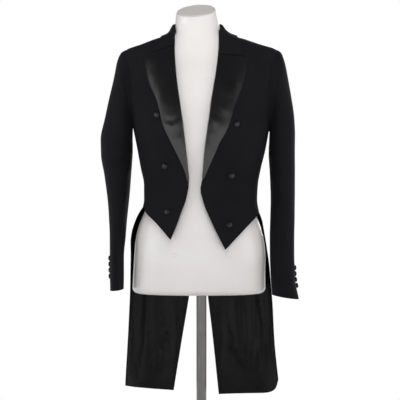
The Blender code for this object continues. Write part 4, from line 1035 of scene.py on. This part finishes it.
sleeveFolds = {
    # places are (ring, turn): ring 0 is the armhole and 15 the cuff, turn 0 outside and 90 in front
    right: [
        ([(1.5, 60), (3.5, 84), (5.5, 112)], 0.013, 0.0026),
        ([(1.5, 96), (3.2, 110), (5.0, 132)], 0.010, -0.0018),
        ([(5.2, 150), (6.4, 112), (7.0, 70)], 0.011, 0.0026),
        ([(6.6, 168), (7.5, 122), (7.9, 74)], 0.009, 0.0030),
        ([(7.3, 160), (8.2, 112), (8.4, 62)], 0.009, -0.0022),
        ([(8.0, 170), (9.0, 118), (9.3, 66)], 0.009, 0.0026),
        ([(9.6, 150), (10.6, 108), (11.6, 74)], 0.012, 0.0016),
        ([(11.6, 60), (12.8, 82), (14.0, 96)], 0.011, 0.0014),
        ([(2.0, 10), (3.4, -14), (4.8, -36)], 0.013, 0.0018),
        ([(6.0, -20), (7.0, -52), (7.6, -96)], 0.012, 0.0018),
        ([(7.2, -30), (8.2, -64), (8.6, -110)], 0.011, -0.0014),
        ([(8.6, -28), (9.6, -66), (10.4, -104)], 0.012, 0.0016),
        ([(2.0, -100), (4.0, -120), (6.0, -140)], 0.013, 0.0018),
        ([(11.0, -110), (12.4, -90), (13.8, -76)], 0.012, 0.0014),
    ],
    left: [
        ([(1.4, 62), (3.4, 86), (5.6, 110)], 0.013, 0.0026),
        ([(1.6, 98), (3.4, 112), (5.2, 134)], 0.010, -0.0018),
        ([(5.6, 154), (6.6, 116), (7.2, 72)], 0.011, 0.0024),
        ([(6.8, 168), (7.8, 124), (8.2, 80)], 0.009, 0.0028),
        ([(7.6, 160), (8.5, 116), (8.7, 70)], 0.009, -0.0020),
        ([(8.4, 168), (9.4, 122), (9.8, 76)], 0.009, 0.0024),
        ([(9.8, 60), (11.2, 84), (12.6, 104)], 0.013, 0.0020),
        ([(11.2, 50), (12.6, 70), (14.2, 84)], 0.011, -0.0012),
        ([(12.4, 96), (13.4, 86), (14.4, 70)], 0.010, 0.0014),
        ([(2.2, 12), (3.6, -12), (5.0, -34)], 0.013, 0.0018),
        ([(6.2, -18), (7.2, -50), (7.8, -94)], 0.012, 0.0018),
        ([(7.4, -28), (8.4, -62), (8.8, -108)], 0.011, -0.0014),
        ([(8.8, -26), (9.8, -64), (10.6, -102)], 0.012, 0.0016),
        ([(2.2, -102), (4.2, -122), (6.2, -142)], 0.013, 0.0018),
        ([(11.2, -108), (12.6, -88), (14.0, -74)], 0.012, 0.0014),
    ],
}


def sleeveStart(side, turn):
    angle, z = armhole(side, turn)
    here = spot(side, angle, z)
    ahead = spot(side, *armhole(side, turn + 2.0)) - spot(side, *armhole(side, turn - 2.0))
    normal = bodyNormal(side, angle, z)
    inward = unit(np.cross(ahead, normal))
    if inward @ (spot(side, 90.0, armholes[side]["middleZ"]) - here) < 0:
        inward = -inward
    under = (1 - math.cos(math.radians(turn))) / 2
    return here + inward * (sleeve["setIn"] + sleeve["setUnder"] * under), inward, normal


def sleevePoint(side, ring, turn):
    # ring -1 is the seam allowance, turned in under the armhole's edge
    if ring <= 0:
        start, inward, normal = sleeveStart(side, turn)
        return start if ring == 0 else start - inward * sleeve["turnedUnder"] - normal * sleeve["turnedDown"]
    rows = curveThrough([(k + 1, *row) for k, row in enumerate(sleeveRings[side])], ring)
    near, far = np.array([side * rows[0], rows[4], rows[1]]), np.array([side * rows[2], rows[4], rows[3]])
    middle, reach = (near + far) / 2, (far - near) / 2
    reach = reach - unit(reach) * sleeve["wall"]
    cosine, sine = math.cos(math.radians(turn)), math.sin(math.radians(turn))
    return middle + reach * cosine - np.array([0, (rows[5] - sleeve["wall"]) * sine, 0])


def sleevePanel(kind, node, side, turnsAt, columns):
    lastRing = len(sleeveRings[side])
    coarse = [[sleevePoint(side, ring, turn) for turn in turnsAt(ring)] for ring in range(-1, lastRing + 1)]
    rowAt = [0, 0.5, 1, 1.05, 1.15, 1.3, 1.5, 1.75] + spread(2, lastRing + 0.9, 74)
    rowAt += [lastRing + 0.96, lastRing + 0.988, lastRing + 1]
    grid = between(coarse, rowAt, edgeSpaced(len(coarse[0]) - 1, columns, 0.20))
    normals = gridNormals(grid, -side)
    folds = [([sleevePoint(side, *place) for place in places], width, rise)
             for places, width, rise in sleeveFolds[side]]
    ringAt = np.array(rowAt)[:, None] - 1
    fade = np.clip(ringAt / 1.2, 0, 1)
    height = (foldHeight(grid, folds) + sleeve["soft"] * noiseAt(grid, sleeve["softSize"], 2)) * fade
    if kind == "topSleeve":
        fromEdge = np.linalg.norm(grid - grid[:, -1:], axis=-1)
        lap = np.clip((ringAt - sleeve["ventRing"]) / 0.4, 0, 1)
        lap = lap * np.clip((sleeve["ventWidth"] - fromEdge) / 0.0015, 0, 1)
        height = height + sleeve["ventLap"] * lap
    grid = grid + normals * height[..., None]
    grid = drawnIn(grid, (0, 0, sleeve["seamGap"], sleeve["seamGap"]))
    piece = sewCloth(f"{kind}{word[side]}", grid, normals, sleeve["wall"], ("first", "last"), flip=side == left)
    finish(piece, f"{node}_{nodeWord[side]}", blackWool)


def topTurns(ring):
    return spread(sleeve["frontSeamTurn"], one(hindSeam, max(ring, 0)), 17)


def underTurns(ring):
    return spread(one(hindSeam, max(ring, 0)), sleeve["frontSeamTurn"] - 360.0, 15)


for side in sides:
    sleevePanel("topSleeve", "topsleeve", side, topTurns, 34)
    sleevePanel("underSleeve", "undersleeve", side, underTurns, 30)
print("sleeves set in")


# covered buttons

frontButtons = {
    right: [(1.331, -0.1155), (1.192, -0.0940), (1.068, -0.0870)],
    left: [(1.3055, 0.0980), (1.166, 0.0845), (1.033, 0.0780)],
}
cuffButtonTurn = {right: -20.0, left: -14.0}
cuffButtonTop = {right: 0.937, left: 0.911}
button = {
    "frontRadius": 0.0080, "frontHeight": 0.0048, "cuffRadius": 0.0075, "cuffHeight": 0.0060, "cuffSpacing": 0.0165,
    "stand": 0.0012, "cuffStand": 0.0008, "columns": 36, "domeAngles": (0, 8, 18, 30, 42, 54, 66, 76, 84, 90),
    "pleats": 12, "pleatDepth": 0.018, "gatheredRings": (9, 10, 11, 12), "cuffButtons": 4,
}


def coveredButton(name, node, foot, normal, radius, height, stem):
    # silk stretched over a domed mould, gathered underneath onto a thread shank
    rim = 0.35 * height
    profile = [(radius * math.sin(a), rim + (height - rim) * math.cos(a)) for a in np.radians(button["domeAngles"])]
    profile += [(radius * 0.985, rim * 0.72), (radius * 0.93, rim * 0.35), (radius * 0.80, 0.0002)]
    profile += [(radius * 0.55, 0.0), (radius * 0.24, 0.0001), (radius * 0.20, -stem * 0.5)]
    profile += [(radius * 0.22, -stem), (0.0, -stem)]
    columns = button["columns"]
    points, faces = [(0.0, 0.0, profile[0][1])], []
    for k, (r, z) in enumerate(profile[1:-1]):
        gather = button["pleatDepth"] * radius if k in button["gatheredRings"] else 0.0
        for j in range(columns):
            a = 2 * math.pi * j / columns
            reach = r + gather * math.cos(button["pleats"] * a)
            points.append((reach * math.cos(a), reach * math.sin(a), z))
    points.append((0.0, 0.0, -stem))
    rings = len(profile) - 2
    for j in range(columns):
        m = (j + 1) % columns
        faces.append((0, 1 + j, 1 + m))
        for k in range(rings - 1):
            a, b = 1 + k * columns, 1 + (k + 1) * columns
            faces.append((a + j, b + j, b + m, a + m))
        end = 1 + (rings - 1) * columns
        faces.append((end + j, len(points) - 1, end + m))
    turn = Vector(normal).to_track_quat("Z", "Y")
    points = [turn @ Vector(p) + Vector(foot) + Vector((formX, 0, 0)) for p in points]
    finish(newPiece(name, points, faces), node, buttonSilk)


def frontButtonRow(side):
    for number, (z, x) in enumerate(frontButtons[side], start=1):
        angle = angleAt(side, x, z)
        here, normal = spot(side, angle, z), bodyNormal(side, angle, z)
        rise = max(float(foldHeight(here[None], bodyFolds[side])[0]), 0.0) + 0.0002
        foot = here + normal * (bodyCloth["wall"] + button["stand"] + rise)
        coveredButton(f"frontButton{word[side]}{number}", f"front_button_{nodeWord[side]}_{number}",
                      foot, normal, button["frontRadius"], button["frontHeight"], button["stand"] * 0.8)


def cuffButtonRow(side):
    heights = [row[3] for row in sleeveRings[side]]
    turn = cuffButtonTurn[side]
    for number in range(button["cuffButtons"]):
        z = cuffButtonTop[side] - number * button["cuffSpacing"]
        ring = next(i for i in range(len(heights)) if heights[i] < z)
        low, high = sleevePoint(side, ring + 1, turn), sleevePoint(side, ring, turn)
        here = low + (high - low) * ((z - low[2]) / (high[2] - low[2]))
        behind = sleevePoint(side, ring + 1, turn - 6.0) - sleevePoint(side, ring + 1, turn + 6.0)
        normal = unit(np.cross(behind, high - low))
        if normal[0] * side < 0:
            normal = -normal
        foot = here + normal * (sleeve["wall"] + button["cuffStand"] + 0.0003)
        coveredButton(f"cuffButton{word[side]}{number + 1}", f"cuff_button_{nodeWord[side]}_{number + 1}",
                      foot, normal, button["cuffRadius"], button["cuffHeight"], button["cuffStand"] * 0.8)


for side in sides:
    frontButtonRow(side)
    cuffButtonRow(side)
print("buttons on")


# the limbless form the coat hangs on

neckSections = [
    (1.590, -0.0688, 0.0545, -0.0505, 0.0630, -0.0072),
    (1.604, -0.0683, 0.0513, -0.0505, 0.0620, -0.0085),
    (1.634, -0.0664, 0.0454, -0.0510, 0.0610, -0.0105),
]
form = {
    "bottom": 0.840, "edge": 0.016, "columns": 144, "neckTopZ": 1.6300, "slopeY": math.tan(math.radians(24.0)),
    "slopeX": math.tan(math.radians(5.0)), "topMiddle": (-0.0105, 0.005), "topShrink": 0.975,
    "shoulders": [1.498, 1.510, 1.520, 1.529, 1.538, 1.547, 1.557, 1.567, 1.578],
    "cap": [
        (0.35, 0.0), (0.90, 0.0), (0.962, 0.0), (0.967, 0.0003), (0.9675, 0.0008), (0.964, 0.0014), (0.953, 0.0019),
        (0.92, 0.0024), (0.85, 0.0028), (0.70, 0.0031), (0.52, 0.0033), (0.35, 0.0034), (0.15, 0.0035),
    ],
    "capGap": 0.00036,
}


def formRing(z, inset=0.0):
    angle = np.arange(form["columns"]) * 360.0 / form["columns"]
    height = np.full(form["columns"], z)
    onLeft = bodyPoint(formSections, left, angle, height)
    onRight = bodyPoint(formSections, right, 360.0 - angle, height)
    ring = np.where((angle <= 180.0)[:, None], onLeft, onRight)
    flat = ring * np.array([1.0, 1.0, 0.0])
    return ring - unit(flat) * inset


def neckRing(share, shrink=1.0, lift=0.0):
    foot, top = neckSections[0][0], neckSections[-1][0]
    toRight, toLeft, front, back, middle = curveThrough(neckSections, foot + (top - foot) * share)
    turn = 2 * math.pi * np.arange(form["columns"]) / form["columns"]
    across, along = np.sin(turn), np.cos(turn)
    x = middle + np.where(across > 0, toLeft - middle, middle - toRight) * across * shrink
    y = np.where(along > 0, front, back) * np.abs(along) * shrink
    topX, topY = form["topMiddle"]
    topZ = form["neckTopZ"] + form["slopeY"] * (y - topY) + form["slopeX"] * (x - topX)
    return np.stack([x, y, foot + (topZ - foot) * share + lift], -1)


def closedStack(name, rings, node, stuff):
    points = np.vstack(rings)
    points[:, 0] += formX
    count, n = len(rings), form["columns"]
    middles = [points[:n].mean(axis=0), points[-n:].mean(axis=0)]
    faces = []
    for i in range(count - 1):
        for j in range(n):
            m = (j + 1) % n
            faces.append((i * n + j, i * n + m, (i + 1) * n + m, (i + 1) * n + j))
    low, high = len(points), len(points) + 1
    for j in range(n):
        m = (j + 1) % n
        faces.append((low, m, j))
        faces.append((high, (count - 1) * n + j, (count - 1) * n + m))
    piece = newPiece(name, points.tolist() + [list(m) for m in middles], faces)
    finish(piece, node, stuff)


def formTorso():
    edgeZ = form["bottom"] + form["edge"]
    low = []
    for bend in np.radians([0, 12, 24, 36, 48, 60, 72, 81, 90]):
        ring = formRing(edgeZ, form["edge"] * (1 - math.sin(bend)))
        low.append(ring - np.array([0.0, 0.0, form["edge"] * math.cos(bend)]))
    upper = [low[-1]] + [formRing(z) for z in spread(0.880, 1.480, 21) + form["shoulders"]]
    upper += [neckRing(share) for share in (0.0, 0.3, 0.65, 0.94)]
    cells = len(upper) - 1
    fine = between(np.array(upper), np.linspace(0, cells, 3 * cells + 1), np.arange(form["columns"]))
    rings = [low[0] * np.array([0.5, 0.5, 1.0])] + low[:-1] + list(fine)
    rings += [neckRing(0.975, 0.999), neckRing(0.99, 0.993), neckRing(1.0, form["topShrink"] + 0.006),
              neckRing(1.0, 0.972), neckRing(1.0, 0.5)]
    closedStack("formTorso", rings, "form_torso", formShell)


formTorso()
# the cap takes the shell's finish darkened with painted shade
closedStack("formNeckCap", [neckRing(1.0, shrink, form["capGap"] + rise) for shrink, rise in form["cap"]],
            "form_neck_cap", capPaintedShade)
for standPart in ("stand_pole", "stand_base"):
    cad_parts[standPart].data.materials.clear()
    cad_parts[standPart].data.materials.append(chrome)
print("form and stand done")


# floor, light and camera

studio = {
    "floorSize": 5.0, "floorSteps": 24, "floorZ": -0.0005, "whiteBehind": 1.0,
    # the room's strength where it starts to dim, then where it ends, going up
    "dimFrom": (-0.02, 1.20), "dimTo": (0.10, 0.07),
    "lamps": [
        # name, place, aimed at, size, strength, seen in shiny cloth
        ("softboxRight", (-3.0, -1.2, 1.9), (0.0, 0.0, 1.15), 2.0, 26.0, True),
        ("softboxLeft", (3.0, -1.4, 1.9), (0.0, 0.0, 1.15), 2.0, 22.0, True),
        ("frontFill", (0.3, -3.2, 2.6), (0.0, 0.0, 1.2), 1.6, 27.0, False),
        ("overhead", (0.0, -1.0, 3.5), (0.0, -0.8, 0.0), 1.6, 28.0, False),
        ("behind", (0.8, 3.2, 2.2), (0.0, 0.0, 1.1), 2.2, 60.0, True),
    ],
}


def layFloor():
    reach, steps = studio["floorSize"] / 2, studio["floorSteps"]
    line = np.linspace(-reach, reach, steps + 1)
    points = [(x, y, studio["floorZ"]) for y in line for x in line]
    across = steps + 1
    corners = [j * across + i for j in range(steps) for i in range(steps)]
    floor = newPiece("studioFloor", points, [(a, a + 1, a + across + 1, a + across) for a in corners])
    floor.data.materials.append(floorPaint)


def hangLamps():
    for name, place, aim, size, strength, shines in studio["lamps"]:
        lamp = bpy.data.lights.new(name, "AREA")
        lamp.size, lamp.energy = size, strength
        holder = bpy.data.objects.new(name, lamp)
        holder.location = place
        holder.rotation_euler = (Vector(aim) - Vector(place)).to_track_quat("-Z", "Y").to_euler()
        holder.visible_camera = False
        holder.visible_glossy = shines
        bpy.context.scene.collection.objects.link(holder)


def lightRoom():
    room = bpy.data.worlds.new("whiteRoom")
    bpy.context.scene.world = room
    room.use_nodes = True
    nodes, links = room.node_tree.nodes, room.node_tree.links
    nodes.clear()
    where = nodes.new("ShaderNodeTexCoord")
    split = nodes.new("ShaderNodeSeparateXYZ")
    seen, lit = nodes.new("ShaderNodeBackground"), nodes.new("ShaderNodeBackground")
    mix, path, out = [nodes.new("ShaderNode" + kind) for kind in ("MixShader", "LightPath", "OutputWorld")]
    putIn(seen, {"Color": (1, 1, 1, 1), "Strength": studio["whiteBehind"]})
    putIn(lit, {"Color": (1, 1, 1, 1)})
    links.new(where.outputs["Generated"], split.inputs[0])
    (low, strong), (high, weak) = studio["dimFrom"], studio["dimTo"]
    links.new(spanned(nodes, links, split.outputs["Z"], strong, weak, low, high), lit.inputs["Strength"])
    links.new(path.outputs["Is Camera Ray"], mix.inputs[0])
    links.new(lit.outputs[0], mix.inputs[1])
    links.new(seen.outputs[0], mix.inputs[2])
    links.new(mix.outputs[0], out.inputs["Surface"])


layFloor()
hangLamps()
lightRoom()

lens = {"place": (-0.004, -3.4, 1.10), "focal": 109.3, "sensor": 36.0}
view = bpy.data.cameras.new("frontView")
view.lens, view.sensor_width = lens["focal"], lens["sensor"]
viewer = bpy.data.objects.new("frontView", view)
viewer.location = lens["place"]
viewer.rotation_euler = (math.pi / 2, 0.0, 0.0)
bpy.context.scene.collection.objects.link(viewer)
bpy.context.scene.camera = viewer
bpy.context.scene.view_settings.view_transform = "Standard"
print("lights and camera set")
